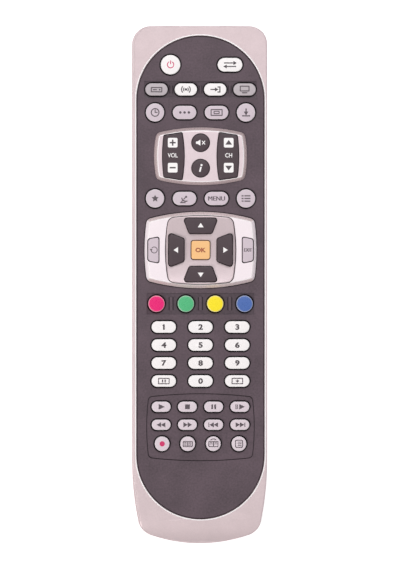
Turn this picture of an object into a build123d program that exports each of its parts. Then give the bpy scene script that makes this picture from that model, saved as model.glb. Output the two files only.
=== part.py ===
from build123d import *
import math
import os
from collections import namedtuple

# A hand-held satellite receiver remote control, lying on its back.
# X runs across it, Y points to the nose with the infrared window, Z points out of the keys.
# Z = 0 is the flat of the back. All sizes are in millimetres.

# Casing
LENGTH = 207.4
WIDTH = 54.0
FACE_Z = 21.0  # front surface of the silver casing
PART_Z = 13.4  # plane where the two halves of the casing meet
WALL = 1.8
CORNER_R = 7.2
NOSE_CROWN = 0.3  # how far the nose bows out at its middle
TAPER_Y = -71.0  # below this the sides curve in towards the tail
TAPER_R = 116.0
TAIL_R = 60.0
BACK_EDGE_R = 6.0
BACK_EDGE_FLATS = 3  # the rounded back edge is this many flats that touch its radius
BACK_EDGE_INNER = 3.0  # chamfer inside the rounded back edge
FACE_EDGE = 0.5
SEAM_STEP = 0.3  # the upper half stands this far inside the lower one
LIP_H = 1.2  # lip of the lower half, inside the upper one
LIP_OUTER = 1.1
TAIL_ROLL = 10.0  # length over which the face rolls down to the tail
TAIL_DROP = 3.0
HOLLOW_TOP_Z = 19.2
HOLLOW_TAIL_TOP_Z = 17.0  # ceiling under the rolled tail

# Dark face panel, a slot with full round ends
PANEL_W = 50.9
PANEL_L = 193.05
PANEL_Y = 2.83
PANEL_TOP_Z = 20.8
PANEL_T = 1.6
PANEL_GAP = 0.25
LEDGE = 1.1  # width of the step that carries the panel
LEDGE_T = 1.2
PANEL_EDGE = 0.3
RECESS = 0.25  # depth of the shallow fields pressed into the panel
SOURCE_FIELD = (44.8, 6.8)
COLOUR_FIELD = (43.0, 8.5)
SOURCE_RIB = (3.8, 0.7)  # length and width of the thin ribs between keys
COLOUR_RIB = (6.0, 1.1)

# Raised silver islands
ISLAND_H = 1.8
ISLAND_SKIRT = 1.4  # width and height of the sloping skirt
ISLAND_TOP_Z = PANEL_TOP_Z + ISLAND_H
VOLUME_Y = 51.3
NAVIGATION_Y = 13.8
DISH_HOLLOW_R = 70.0
DISH_HALF = 13.0  # the hollow meets the dish's top at this distance from its middle
DISH_EDGE_H = 1.9
PEG_SIDE = 1.8  # square pegs that fix the islands in the panel
PEG_CLEARANCE = 0.1

# Keys
KEY_RISE = 1.3  # cap above the face panel
ISLAND_KEY_RISE = 0.6  # cap above an island
KEY_GAP = 0.35  # slit round each cap
KEY_EDGE = 0.35
FLANGE_TOP_Z = 19.05
FLANGE_T = 0.9
FLANGE_LIP = 0.8  # flange beyond the cap
POST_END_Z = 16.25
ROCKER_FLANGE_TOP_Z = 18.4
ROCKER_FLANGE_T = 0.8
ROCKER_FLANGE_LIP = 0.8
ROCKER_CORNER = 0.3
ROCKER_POST_X = 10.9
ROCKER_POST_Y = 6.4
ROCKER_POST_SIDE = 2.6

# Keypad mat and circuit board
BOARD_TOP_Z = 15.1
BOARD_T = 1.2
BOARD_INSET = 4.0
BOARD_NOSE_Y = 90.0
BOARD_TAIL_Y = -90.0
MAT_T = 1.6
MAT_GAP = 0.5  # room round each key post

# Batteries: two AAA cells side by side
CELL_R = 5.25
CELL_L = 44.5
CELL_NUB_R = 1.9
CELL_NUB_L = 0.9
CELL_X = 5.6
CELL_Z = 7.15
CONTACT_T = 0.4
DIMPLE_H = 0.4
SPRING_L = 6.2
SPRING_WIRE = 0.7
SPRING_BEND_R = 0.8
SPRING_HALF_TURNS = 4
SPRING_WIDE_R = 3.5
SPRING_NARROW_R = 2.4
BAY_FRONT_Y = -40.0
BAY_REAR_Y = BAY_FRONT_Y - (2 * CONTACT_T + SPRING_L + CELL_L + DIMPLE_H)
BAY_HALF_W = 11.2
BAY_WALL = 1.2
BAY_ROOF_Z = 12.6

# Battery door
DOOR_HALF_W = 18.0
DOOR_FRONT_Y = -36.2
DOOR_T = 1.6
DOOR_GAP = 0.2
DOOR_END_Z = 7.3
RAIL_INNER_X = 15.4
RAIL_T = 1.2
RAIL_MIDDLE_Y = -65.5
RAIL_L = 57.0
HOOK_YS = (-48.0, -66.0, -84.0)
HOOK_L = 5.0
HOOK_T = 1.0
TONGUE_X = 13.95
TONGUE_W = 2.0
TONGUE_T = 1.0
THUMB_GROOVES = 6
THUMB_PITCH = 2.2
THUMB_Y = -44.0
THUMB_W = 17.0  # the longest groove
THUMB_DEPTH = 0.8

# Screws at the nose
SCREW_X = 20.5
SCREW_Y = 96.0
SCREW_SHANK_R = 1.1
SCREW_HEAD_R = 2.3
SCREW_HEAD_H = 1.6
SCREW_SEAT_Z = 6.0
BOSS_JOIN_Z = 9.8
BOSS_R = 3.6
UPPER_BOSS_R = 2.8
PIN_SIDE = 1.6

# Parts under the board: centre across and along, then width, length and height
CHIP = (0, 24, 12.8, 7.5, 2.2)
RESONATOR = (13, 40, 7.5, 3.0, 3.2)
TRANSISTOR = (8, 72, 3.0, 2.6, 1.4)
RESISTORS = [(x, 8, 1.6, 0.9, 0.6) for x in (-9, -3, 3, 9)]
CAPACITOR_AT = (-12, 60)
CAPACITOR_R = 2.5
CAPACITOR_L = 7.0

# Infrared window and diode
EYE_HALF_W = 8.0
EYE_LOW_Z = 9.4
EYE_HIGH_Z = 17.2
EYE_GAP = 0.15
LED_R = 2.5
LED_FOOT_Y = 91.0
LED_Z = 11.9

FAR = 150.0  # larger than anything in the model

# The many small round forms are prisms, which keeps a model with this many keys light.
DISC_SIDES = 14
PILL_END_SIDES = 5
SMALL_SIDES = 12
CELL_SIDES = 24
BOW_CHORDS = 3  # in half of each bowed side of an island
CORNER_CHORDS = 4
ROCKER_CHORDS = 6


def bow_radius(half_chord, sagitta):
    """Radius of an arc from half the length of its chord and its height over the chord."""
    return (half_chord**2 + sagitta**2) / (2 * sagitta)


def casing_outline(inset=0.0):
    """The casing seen from the front, drawn in all round by inset."""
    half_w = WIDTH / 2 - inset
    side_r = TAPER_R - inset
    tail_r = TAIL_R - inset
    nose_full_r = bow_radius(WIDTH / 2, NOSE_CROWN)
    nose_r = nose_full_r - inset
    nose_y = LENGTH / 2 - nose_full_r + nose_r
    shoulder_y = nose_y - nose_r + math.sqrt(nose_r**2 - half_w**2)
    tail_y = -LENGTH / 2 + inset
    # The tail corner is where the side arc meets the tail arc.
    side_centre_x = half_w - side_r
    dx = -side_centre_x
    dy = tail_y + tail_r - TAPER_Y
    span = math.hypot(dx, dy)
    along = (side_r**2 - tail_r**2 + span**2) / (2 * span)
    across = math.sqrt(side_r**2 - along**2)
    corner_x = side_centre_x + (along * dx + across * dy) / span
    corner_y = TAPER_Y + (along * dy - across * dx) / span
    with BuildSketch() as outline:
        with BuildLine():
            ThreePointArc((-half_w, shoulder_y), (0, nose_y), (half_w, shoulder_y))
            Line((half_w, shoulder_y), (half_w, TAPER_Y))
            TangentArc((half_w, TAPER_Y), (corner_x, corner_y), tangent=(0, -1))
            ThreePointArc((corner_x, corner_y), (0, tail_y), (-corner_x, corner_y))
            TangentArc((-half_w, TAPER_Y), (-corner_x, corner_y), tangent=(0, -1))
            Line((-half_w, TAPER_Y), (-half_w, shoulder_y))
        make_face()
        corners = outline.vertices().filter_by(lambda v: abs(v.Y - TAPER_Y) > 1)
        fillet(corners, radius=CORNER_R - inset)
    return outline.sketch


def casing_form():
    """The closed outer shape of the whole casing."""
    tail = -LENGTH / 2
    with BuildPart() as form:
        with BuildSketch():
            add(casing_outline())
        extrude(amount=FACE_Z)
        # The back edge is rounded in a few flats, each cut from the one before.
        turn = math.pi / 2 / (BACK_EDGE_FLATS + 1)
        reach = 0.0
        for flat in range(1, BACK_EDGE_FLATS + 1):
            lean = flat * turn
            further = BACK_EDGE_R * (1 - math.tan(math.pi / 4 - lean / 2)) - reach
            back = form.faces().sort_by(Axis.Z)[0]
            up_the_side = further * math.cos(lean) / math.sin(turn)
            chamfer(back.edges(), length=further, length2=up_the_side, reference=back)
            reach += further
        # The face rolls down to the tail.
        with BuildSketch(Plane.YZ):
            with BuildLine():
                TangentArc((tail + TAIL_ROLL, FACE_Z), (tail, FACE_Z - TAIL_DROP), tangent=(-1, 0))
                Polyline((tail, FACE_Z - TAIL_DROP), (tail, FACE_Z), (tail + TAIL_ROLL, FACE_Z))
            make_face()
        extrude(amount=WIDTH, both=True, mode=Mode.SUBTRACT)
    return form.part


def hollow_outline():
    """The room inside the casing: straight walls with cut corners."""
    half_w = WIDTH / 2 - WALL
    nose = LENGTH / 2 - WALL - 0.1
    tail = -LENGTH / 2 + WALL + 1.3
    right = [(21.8, nose), (half_w, nose - 3.4), (half_w, TAPER_Y), (22.9, -93.5), (20.0, -97.3), (12.0, tail)]
    with BuildSketch() as outline:
        Polygon(*right, *[(-x, y) for x, y in reversed(right)], align=None)
    return outline.sketch


def hollow_form(floor_z):
    """The room inside the casing, with its lower edges cut at 45 degrees under the rounded back."""
    with BuildPart() as form:
        with BuildSketch(Plane.XY.offset(floor_z)):
            add(hollow_outline())
        extrude(amount=HOLLOW_TOP_Z - floor_z)
        chamfer(form.edges().group_by(Axis.Z)[0], length=BACK_EDGE_INNER)
    return form.part


def panel_outline(grow=0.0):
    """The dark panel's slot shape, grown all round."""
    with BuildSketch() as slot:
        with Locations((0, PANEL_Y)):
            SlotOverall(PANEL_L + 2 * grow, PANEL_W + 2 * grow, rotation=90)
    return slot.sketch


def barrel(width, height, corner, corner_r, grow=0.0):
    """A four-sided outline whose sides all bow outwards, in short chords, centred on the origin."""
    side_r = bow_radius(corner[1], width / 2 - corner[0])
    end_r = bow_radius(corner[0], height / 2 - corner[1])
    side_x = width / 2 - side_r
    end_y = height / 2 - end_r
    # The corner's rounding touches the bow of the side and the bow of the end from inside.
    span = math.hypot(side_x, end_y)
    along = ((side_r - corner_r) ** 2 - (end_r - corner_r) ** 2 + span**2) / (2 * span)
    across = math.sqrt((side_r - corner_r) ** 2 - along**2)
    corner_x = side_x - (along * side_x + across * end_y) / span
    corner_y = (along * end_y - across * side_x) / span
    side_angle = math.atan2(corner_y, corner_x - side_x)
    end_angle = math.atan2(corner_y - end_y, corner_x)
    arcs = [
        (side_x, 0, side_r, 0, side_angle, BOW_CHORDS),
        (corner_x, corner_y, corner_r, side_angle, end_angle, CORNER_CHORDS),
        (0, end_y, end_r, end_angle, math.pi / 2, BOW_CHORDS),
    ]
    quarter = []
    for x, y, radius, start, stop, chords in arcs:
        for step in range(chords):
            angle = start + (stop - start) * step / chords
            quarter.append((x + (radius + grow) * math.cos(angle), y + (radius + grow) * math.sin(angle)))
    quarter.append((0, height / 2 + grow))
    half = quarter + [(-x, y) for x, y in reversed(quarter[:-1])]
    with BuildSketch() as shape:
        Polygon(*half, *[(-x, -y) for x, y in half[1:-1]], align=None)
    return shape.sketch


def volume_outline(grow=0.0):
    return barrel(37.2, 23.1, (17.6, 9.3), 2.6, grow)


def navigation_outline(grow=0.0):
    return barrel(44.8, 30.6, (21.5, 12.3), 2.6, grow)


def dish_outline(grow=0.0):
    return barrel(28.2, 27.4, (12.8, 12.7), 3.0, grow)


def recorder_outline(grow=0.0):
    return barrel(43.4, 27.1, (20.9, 12.3), 1.8, grow)


def pill(width, height):
    """Outline of a long key with round ends."""

    def outline(grow=0.0):
        end_r = height / 2 + grow
        middle_x = (width - height) / 2
        angles = [math.pi * (step / PILL_END_SIDES - 0.5) for step in range(PILL_END_SIDES + 1)]
        right = [(middle_x + end_r * math.cos(a), end_r * math.sin(a)) for a in angles]
        with BuildSketch() as shape:
            Polygon(*right, *[(-x, -y) for x, y in right], align=None)
        return shape.sketch

    return outline


def disc(diameter):
    """Outline of a round key."""

    def outline(grow=0.0):
        with BuildSketch() as shape:
            RegularPolygon(diameter / 2 + grow, DISC_SIDES, rotation=180 / DISC_SIDES)
        return shape.sketch

    return outline


def cut_corners(shape, points, cuts):
    """Cut off the outline's corner that lies nearest to each of the points."""
    for point, cut in zip(points, cuts):
        chamfer(shape.vertices().sort_by_distance(point)[0], length=cut)


def wedge(points, cuts):
    """Outline of a straight-sided key given by its corners, each one cut off by its own length."""

    def outline(grow=0.0):
        with BuildSketch() as shape:
            Polygon(*points, align=None)
            if grow:
                offset(amount=grow, kind=Kind.INTERSECTION, mode=Mode.REPLACE)
            cut_corners(shape, points, [cut + grow / 2 for cut in cuts])
        return shape.sketch

    return outline


def square(side, cut):
    """Outline of a square key."""
    half = side / 2
    return wedge([(-half, -half), (half, -half), (half, half), (-half, half)], [cut] * 4)


def arrow(turn):
    """Outline of one arrow key: a trapezium, wide side outwards, turned about the dish's centre."""
    outer, inner, outer_half, inner_half = 12.75, 6.6, 6.9, 4.5
    corners = [(-outer_half, outer), (outer_half, outer), (inner_half, inner), (-inner_half, inner)]
    c = math.cos(math.radians(turn))
    s = math.sin(math.radians(turn))
    return wedge([(x * c - y * s, x * s + y * c) for x, y in corners], [1.3, 1.3, 0.7, 0.7])


def side_key(hand):
    """Outline of the narrow key at one end of the navigation island, hand -1 left and 1 right."""
    outer_x, inner_x, outer_half, inner_half = 21.3, 16.2, 4.5, 5.4
    return wedge(
        [
            (hand * outer_x, outer_half),
            (hand * inner_x, inner_half),
            (hand * inner_x, -inner_half),
            (hand * outer_x, -outer_half),
        ],
        [0.6] * 4,
    )


def rocker(hand):
    """Outline of a rocker key: long sides bow outwards, ends slant, hand -1 left and 1 right."""
    outer_x, inner_x = 15.4, 6.4
    outer_r = bow_radius(8.5, 0.6)
    inner_r = bow_radius(9.6, 0.9)
    end_y, end_slope = 10.7, -0.147

    def outline(grow=0.0):
        end = end_y + grow * math.hypot(1, end_slope)
        sides = []
        for side, middle_x, radius in ((1, outer_x - outer_r, outer_r), (-1, inner_x + inner_r, inner_r)):
            radius += grow
            # Where the slanting end meets the side's arc, found in a few steps
            corner_y = end
            for _ in range(6):
                corner_x = middle_x + side * math.sqrt(radius**2 - corner_y**2)
                corner_y = end + end_slope * corner_x
            rise = math.asin(corner_y / radius)
            angles = [rise * (2 * step / ROCKER_CHORDS - 1) for step in range(ROCKER_CHORDS + 1)]
            sides.append([(middle_x + side * radius * math.cos(a), side * radius * math.sin(a)) for a in angles])
        corners = [side[place] for side in sides for place in (0, -1)]
        with BuildSketch() as shape:
            Polygon(*[(hand * x, y) for x, y in sides[0] + sides[1]], align=None)
            cut_corners(shape, [(hand * x, y) for x, y in corners], [ROCKER_CORNER + grow / 2] * 4)
        return shape.sketch

    return outline


# Each key: its node, its outline, its centre, its top, and how its flange is cut.
Key = namedtuple("Key", "node outline x y top flange")
FACE_KEY_TOP_Z = PANEL_TOP_Z + KEY_RISE
ISLAND_KEY_TOP_Z = ISLAND_TOP_Z + ISLAND_KEY_RISE

large_disc = disc(7.3)
wide_pill = pill(9.4, 5.35)
source_pill = pill(8.9, 4.9)
digit_pill = pill(9.75, 4.65)
recorder_pill = pill(7.55, 4.15)
recorder_disc = disc(5.9)

keys = [
    Key("power_key", disc(7.8), -12.0, 87.9, FACE_KEY_TOP_Z, "follow"),
    Key("tv_sat_key", pill(9.9, 5.5), 11.8, 87.9, FACE_KEY_TOP_Z, "follow"),
]

SOURCE_Y = 78.0
FOUR_PITCH = 11.75
for column, node in enumerate(["receiver_key", "radio_key", "av_key", "tv_key"]):
    keys.append(Key(node, source_pill, (column - 1.5) * FOUR_PITCH, SOURCE_Y, FACE_KEY_TOP_Z, "square"))

MIXED_OUTER_X = 18.2
MIXED_INNER_X = 6.4
mixed_rows = {
    68.8: ["clock_key", "option_key", "screen_key", "save_key"],
    34.4: ["favourite_key", "satellite_key", "menu_key", "guide_key"],
}
for y, nodes in mixed_rows.items():
    places = [-MIXED_OUTER_X, -MIXED_INNER_X, MIXED_INNER_X, MIXED_OUTER_X]
    shapes = [large_disc, wide_pill, wide_pill, large_disc]
    for node, outline, x in zip(nodes, shapes, places):
        keys.append(Key(node, outline, x, y, FACE_KEY_TOP_Z, "square"))

keys += [
    Key("mute_key", disc(7.0), 0, 56.7, ISLAND_KEY_TOP_Z, "square"),
    Key("info_key", disc(7.0), 0, 46.5, ISLAND_KEY_TOP_Z, "square"),
    Key("ok_key", square(7.4, 0.6), 0, NAVIGATION_Y, ISLAND_KEY_TOP_Z - 0.6, "square"),
    Key("back_key", side_key(-1), 0, NAVIGATION_Y, ISLAND_KEY_TOP_Z - 0.1, "follow"),
    Key("exit_key", side_key(1), 0, NAVIGATION_Y, ISLAND_KEY_TOP_Z - 0.1, "follow"),
]
for node, turn in {"up_key": 0, "left_key": 90, "down_key": 180, "right_key": 270}.items():
    keys.append(Key(node, arrow(turn), 0, NAVIGATION_Y, ISLAND_KEY_TOP_Z, "follow"))

COLOUR_Y = -7.7
for column, node in enumerate(["red_key", "green_key", "yellow_key", "blue_key"]):
    keys.append(Key(node, disc(6.6), (column - 1.5) * FOUR_PITCH, COLOUR_Y, FACE_KEY_TOP_Z, "square"))

DIGIT_TOP_Y = -17.0
DIGIT_ROW_PITCH = 7.2
DIGIT_COLUMN_PITCH = 14.7
digit_rows = [
    ["digit_1_key", "digit_2_key", "digit_3_key"],
    ["digit_4_key", "digit_5_key", "digit_6_key"],
    ["digit_7_key", "digit_8_key", "digit_9_key"],
    ["hold_key", "digit_0_key", "format_key"],
]
for row, nodes in enumerate(digit_rows):
    for column, node in enumerate(nodes):
        x = (column - 1) * DIGIT_COLUMN_PITCH
        y = DIGIT_TOP_Y - row * DIGIT_ROW_PITCH
        keys.append(Key(node, digit_pill, x, y, FACE_KEY_TOP_Z, "square"))

# The recorder keys come in three rows of four like keys, and each row is one group of solids.
RECORDER_Y = -57.1
recorder_rows = [
    ("play_row_keys", recorder_pill, 10.5, -48.9),
    ("wind_row_keys", recorder_pill, 10.5, -56.1),
    ("record_row_keys", recorder_disc, 10.25, -63.7),
]
for node, outline, pitch, y in recorder_rows:
    for column in range(4):
        keys.append(Key(node, outline, (column - 1.5) * pitch, y, FACE_KEY_TOP_Z, "square"))

rockers = [
    Key("volume_rocker", rocker(-1), 0, VOLUME_Y, ISLAND_KEY_TOP_Z, "rocker"),
    Key("channel_rocker", rocker(1), 0, VOLUME_Y, ISLAND_KEY_TOP_Z, "rocker"),
]


def flange_outline(key):
    """The flange behind the panel that keeps a key from falling out."""
    size = key.outline().bounding_box().size
    with BuildSketch() as shape:
        if key.flange == "square":
            Rectangle(size.X + 2 * FLANGE_LIP, size.Y + 2 * FLANGE_LIP)
        else:
            add(key.outline(FLANGE_LIP))
    return shape.sketch


def post_box(key):
    """Centre and size of the post that presses the board's contact."""
    box = key.outline().bounding_box()
    middle = box.center()
    return (key.x + middle.X, key.y + middle.Y), (box.size.X * 0.5, box.size.Y * 0.5)


def key_body(key):
    """One key: cap through the face, flange behind it, post over the board."""
    with BuildPart() as body:
        with BuildSketch(Plane.XY.offset(FLANGE_TOP_Z)):
            with Locations((key.x, key.y)):
                add(key.outline())
        extrude(amount=key.top - FLANGE_TOP_Z)
        chamfer(body.edges().group_by(Axis.Z)[-1], length=KEY_EDGE)
        with BuildSketch(Plane.XY.offset(FLANGE_TOP_Z)):
            with Locations((key.x, key.y)):
                add(flange_outline(key))
        extrude(amount=-FLANGE_T)
        centre, size = post_box(key)
        with BuildSketch(Plane.XY.offset(FLANGE_TOP_Z - FLANGE_T)):
            with Locations(centre):
                Rectangle(*size)
        extrude(amount=POST_END_Z - FLANGE_TOP_Z + FLANGE_T)
    return body.part


def rocker_body(key):
    """A rocker: one cap with a low flange and a post under each end."""
    with BuildPart() as body:
        with BuildSketch(Plane.XY.offset(ROCKER_FLANGE_TOP_Z)):
            with Locations((key.x, key.y)):
                add(key.outline())
        extrude(amount=key.top - ROCKER_FLANGE_TOP_Z)
        chamfer(body.edges().group_by(Axis.Z)[-1], length=KEY_EDGE)
        with BuildSketch(Plane.XY.offset(ROCKER_FLANGE_TOP_Z)):
            with Locations((key.x, key.y)):
                add(key.outline(ROCKER_FLANGE_LIP))
        extrude(amount=-ROCKER_FLANGE_T)
        hand = math.copysign(1, key.outline().bounding_box().center().X)
        with BuildSketch(Plane.XY.offset(ROCKER_FLANGE_TOP_Z - ROCKER_FLANGE_T)):
            with Locations(*rocker_posts(hand)):
                Rectangle(ROCKER_POST_SIDE, ROCKER_POST_SIDE)
        extrude(amount=POST_END_Z - ROCKER_FLANGE_TOP_Z + ROCKER_FLANGE_T)
    return body.part


def rocker_posts(hand):
    return [(hand * ROCKER_POST_X, VOLUME_Y + end * ROCKER_POST_Y) for end in (-1, 1)]


def key_holes(chosen, grow):
    """The outlines of the chosen keys, grown, in one sketch."""
    with BuildSketch() as holes:
        for key in chosen:
            with Locations((key.x, key.y)):
                add(key.outline(grow))
    return holes.sketch


volume_keys = [k for k in keys if k.node in ("mute_key", "info_key")] + rockers
end_keys = [k for k in keys if k.node in ("back_key", "exit_key")]
dish_keys = [k for k in keys if k.node in ("ok_key", "up_key", "down_key", "left_key", "right_key")]
volume_pegs = [(x, VOLUME_Y) for x in (-17.1, 17.1)]
navigation_pegs = [(x, NAVIGATION_Y + y) for x in (-17.6, 17.6) for y in (-9.2, 9.2)]
dish_pegs = [(x, NAVIGATION_Y + y) for x in (-9.6, 9.6) for y in (-9.6, 9.6)]

board_pins = [(x, y) for x in (-20.4, 20.4) for y in (-24.0, 40.0)]
screw_places = [(-SCREW_X, SCREW_Y), (SCREW_X, SCREW_Y)]

casing_outer = casing_form()
casing_inner = hollow_form(WALL)


def on_seam_outline(edge):
    """True for an edge that runs along the outside of the upper half."""
    near = casing_outline(SEAM_STEP).edges()
    middle = edge.position_at(0.5)
    return min(e.distance_to(Vector(middle.X, middle.Y, 0)) for e in near) < 0.05


# Lower half of the casing: a tub with the battery bay, open where the door slides in
with BuildPart() as lower_case:
    add(casing_outer)
    add(casing_inner, mode=Mode.SUBTRACT)
    split(bisect_by=Plane.XY.offset(PART_Z), keep=Keep.BOTTOM)
    # Lip that stands up inside the upper half
    with BuildSketch(Plane.XY.offset(PART_Z)):
        add(casing_outline(LIP_OUTER))
        add(hollow_outline(), mode=Mode.SUBTRACT)
    extrude(amount=LIP_H)
    # Roof of the battery bay, right across the casing
    with BuildSketch(Plane.XY.offset(BAY_ROOF_Z)):
        bay_middle_y = (BAY_FRONT_Y + BAY_REAR_Y) / 2
        bay_length = BAY_FRONT_Y - BAY_REAR_Y + 2 * BAY_WALL
        with Locations((0, bay_middle_y)):
            Rectangle(WIDTH, bay_length)
        add(casing_outline(WALL - 0.2), mode=Mode.INTERSECT)
    extrude(amount=PART_Z - BAY_ROOF_Z)
    # Walls of the bay and the rib between the cells
    with BuildSketch(Plane.XY.offset(BAY_ROOF_Z)):
        with Locations((0, bay_middle_y)):
            Rectangle(2 * (BAY_HALF_W + BAY_WALL), bay_length)
            Rectangle(2 * BAY_HALF_W, bay_length - 2 * BAY_WALL, mode=Mode.SUBTRACT)
    extrude(amount=DOOR_T + 0.5 - BAY_ROOF_Z)
    with BuildSketch(Plane.XY.offset(BAY_ROOF_Z)):
        with Locations((0, bay_middle_y)):
            Rectangle(0.8, CELL_L - 8.0)
    extrude(amount=-3.0)
    # Opening for the door, through the back and the lower part of the tail wall
    with BuildSketch(Plane.XY.offset(-1)):
        with Locations((0, DOOR_FRONT_Y + DOOR_GAP)):
            Rectangle(2 * (DOOR_HALF_W + DOOR_GAP), FAR, align=(Align.CENTER, Align.MAX))
    extrude(amount=1 + WALL, mode=Mode.SUBTRACT)
    with BuildSketch(Plane.XY.offset(-1)):
        with Locations((0, BAY_REAR_Y - BAY_WALL - 0.3)):
            Rectangle(2 * (DOOR_HALF_W + DOOR_GAP), FAR, align=(Align.CENTER, Align.MAX))
    extrude(amount=1 + DOOR_END_Z + DOOR_GAP, mode=Mode.SUBTRACT)
    # Rails that the door's hooks run on
    with BuildSketch(Plane.XY.offset(DOOR_T + 0.1)):
        for hand in (-1, 1):
            rail_w = DOOR_HALF_W + 1.5 - RAIL_INNER_X
            with Locations((hand * (RAIL_INNER_X + rail_w / 2), RAIL_MIDDLE_Y)):
                Rectangle(rail_w, RAIL_L)
    extrude(amount=RAIL_T)
    # Bosses for the two screws, with deep seats for the heads
    with BuildSketch(Plane.XY.offset(WALL - 0.2)):
        with Locations(*screw_places):
            RegularPolygon(BOSS_R, SMALL_SIDES)
        add(casing_outline(WALL - 0.2), mode=Mode.INTERSECT)
    extrude(amount=BOSS_JOIN_Z - WALL + 0.2)
    with BuildSketch(Plane.XY.offset(BOSS_JOIN_Z)):
        with Locations(*screw_places):
            RegularPolygon(SCREW_SHANK_R + 0.15, SMALL_SIDES)
    extrude(amount=-BOSS_JOIN_Z, mode=Mode.SUBTRACT)
    with BuildSketch(Plane.XY.offset(SCREW_SEAT_Z)):
        with Locations(*screw_places):
            RegularPolygon(SCREW_HEAD_R + 0.3, SMALL_SIDES)
    extrude(amount=-SCREW_SEAT_Z, mode=Mode.SUBTRACT)
    # Pads with pins that carry and locate the board
    with BuildSketch(Plane.XY.offset(WALL - 0.2)):
        with Locations(*board_pins):
            Rectangle(3.2, 3.2)
    extrude(amount=BOARD_TOP_Z - BOARD_T - WALL + 0.2)
    with BuildSketch(Plane.XY.offset(BOARD_TOP_Z - BOARD_T)):
        with Locations(*board_pins):
            Rectangle(PIN_SIDE, PIN_SIDE)
    extrude(amount=BOARD_T)
    # Notch for the infrared window
    with Locations((0, LENGTH / 2, EYE_LOW_Z - EYE_GAP)):
        Box(
            2 * (EYE_HALF_W + EYE_GAP), 4.2, 20,
            align=(Align.CENTER, Align.CENTER, Align.MIN), mode=Mode.SUBTRACT,
        )
    with Locations((0, LENGTH / 2 - 2.0, PART_Z - 5)):
        Box(20.4, 4.0, 20, align=(Align.CENTER, Align.MAX, Align.MIN), mode=Mode.SUBTRACT)
    # Slots in the roof for the contacts' solder tabs
    with Locations((-CELL_X, BAY_FRONT_Y - 0.2, BAY_ROOF_Z), (CELL_X, BAY_FRONT_Y - 0.2, BAY_ROOF_Z)):
        Box(3.0, 0.9, 4, mode=Mode.SUBTRACT)

# Upper half of the casing: the silver frame round the dark panel
with BuildPart() as upper_case:
    add(casing_outer)
    with BuildSketch(Plane.XY):
        add(casing_outline(-1))
        add(casing_outline(SEAM_STEP), mode=Mode.SUBTRACT)
    extrude(amount=FACE_Z + 1, mode=Mode.SUBTRACT)
    add(casing_inner, mode=Mode.SUBTRACT)
    split(bisect_by=Plane.XY.offset(PART_Z), keep=Keep.TOP)
    # Thicker ceiling under the rolled tail
    with BuildSketch(Plane.XY.offset(HOLLOW_TAIL_TOP_Z)):
        add(hollow_outline())
        with Locations((0, -LENGTH / 2 + TAIL_ROLL + 2)):
            Rectangle(WIDTH, FAR, align=(Align.CENTER, Align.MAX), mode=Mode.INTERSECT)
    extrude(amount=HOLLOW_TOP_Z - HOLLOW_TAIL_TOP_Z)
    top_edges = upper_case.edges().filter_by(lambda e: e.center().Z > FACE_Z - TAIL_DROP - 0.1)
    rim = top_edges.filter_by(lambda e: e.bounding_box().size.Z < TAIL_DROP and on_seam_outline(e))
    chamfer(rim, length=FACE_EDGE)
    # Rebate for the lower half's lip
    with BuildSketch(Plane.XY.offset(PART_Z)):
        add(casing_outline(LIP_OUTER - 0.1))
    extrude(amount=LIP_H + 0.1, mode=Mode.SUBTRACT)
    # Opening for the dark panel, with the ledge that carries it
    with BuildSketch(Plane.XY.offset(PANEL_TOP_Z - PANEL_T)):
        add(panel_outline(PANEL_GAP))
    extrude(amount=FACE_Z, mode=Mode.SUBTRACT)
    with BuildSketch(Plane.XY.offset(PANEL_TOP_Z - PANEL_T)):
        add(panel_outline(LEDGE))
        add(casing_outline(WALL - 0.2), mode=Mode.INTERSECT)
        add(panel_outline(-LEDGE), mode=Mode.SUBTRACT)
    extrude(amount=-LEDGE_T)
    with BuildSketch(Plane.XY.offset(BOSS_JOIN_Z + 0.1)):
        with Locations(*screw_places):
            RegularPolygon(UPPER_BOSS_R, SMALL_SIDES)
            RegularPolygon(SCREW_SHANK_R + 0.05, SMALL_SIDES, mode=Mode.SUBTRACT)
    extrude(amount=HOLLOW_TOP_Z - BOSS_JOIN_Z)
    with Locations((0, LENGTH / 2, EYE_HIGH_Z + EYE_GAP)):
        Box(
            2 * (EYE_HALF_W + EYE_GAP), 4.2, 20,
            align=(Align.CENTER, Align.CENTER, Align.MAX), mode=Mode.SUBTRACT,
        )

# Dark face panel with its shallow fields and every key hole
with BuildPart() as face_panel:
    with BuildSketch(Plane.XY.offset(PANEL_TOP_Z)):
        add(panel_outline())
    extrude(amount=-PANEL_T)
    chamfer(face_panel.edges().group_by(Axis.Z)[-1], length=PANEL_EDGE)
    with BuildSketch(Plane.XY.offset(PANEL_TOP_Z)):
        with Locations((0, SOURCE_Y)):
            Rectangle(*SOURCE_FIELD)
        with Locations((0, COLOUR_Y)):
            Rectangle(*COLOUR_FIELD)
        with Locations((0, RECORDER_Y)):
            add(recorder_outline())
    extrude(amount=-RECESS, mode=Mode.SUBTRACT)
    # Thin ribs between the keys of the two upper fields
    with BuildSketch(Plane.XY.offset(PANEL_TOP_Z - RECESS)):
        for rib_y, (rib_l, rib_w) in ((SOURCE_Y, SOURCE_RIB), (COLOUR_Y, COLOUR_RIB)):
            with Locations(*[(x, rib_y) for x in (-FOUR_PITCH, 0, FOUR_PITCH)]):
                RegularPolygon(rib_l / 2, 4)
                Rectangle(rib_w, rib_l, mode=Mode.INTERSECT)
    extrude(amount=RECESS)
    with BuildSketch(Plane.XY.offset(PANEL_TOP_Z)):
        add(key_holes(keys + rockers, KEY_GAP))
        with Locations(*volume_pegs, *navigation_pegs, *dish_pegs):
            Rectangle(PEG_SIDE + 2 * PEG_CLEARANCE, PEG_SIDE + 2 * PEG_CLEARANCE)
    extrude(amount=-2 * PANEL_T, mode=Mode.SUBTRACT)


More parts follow.
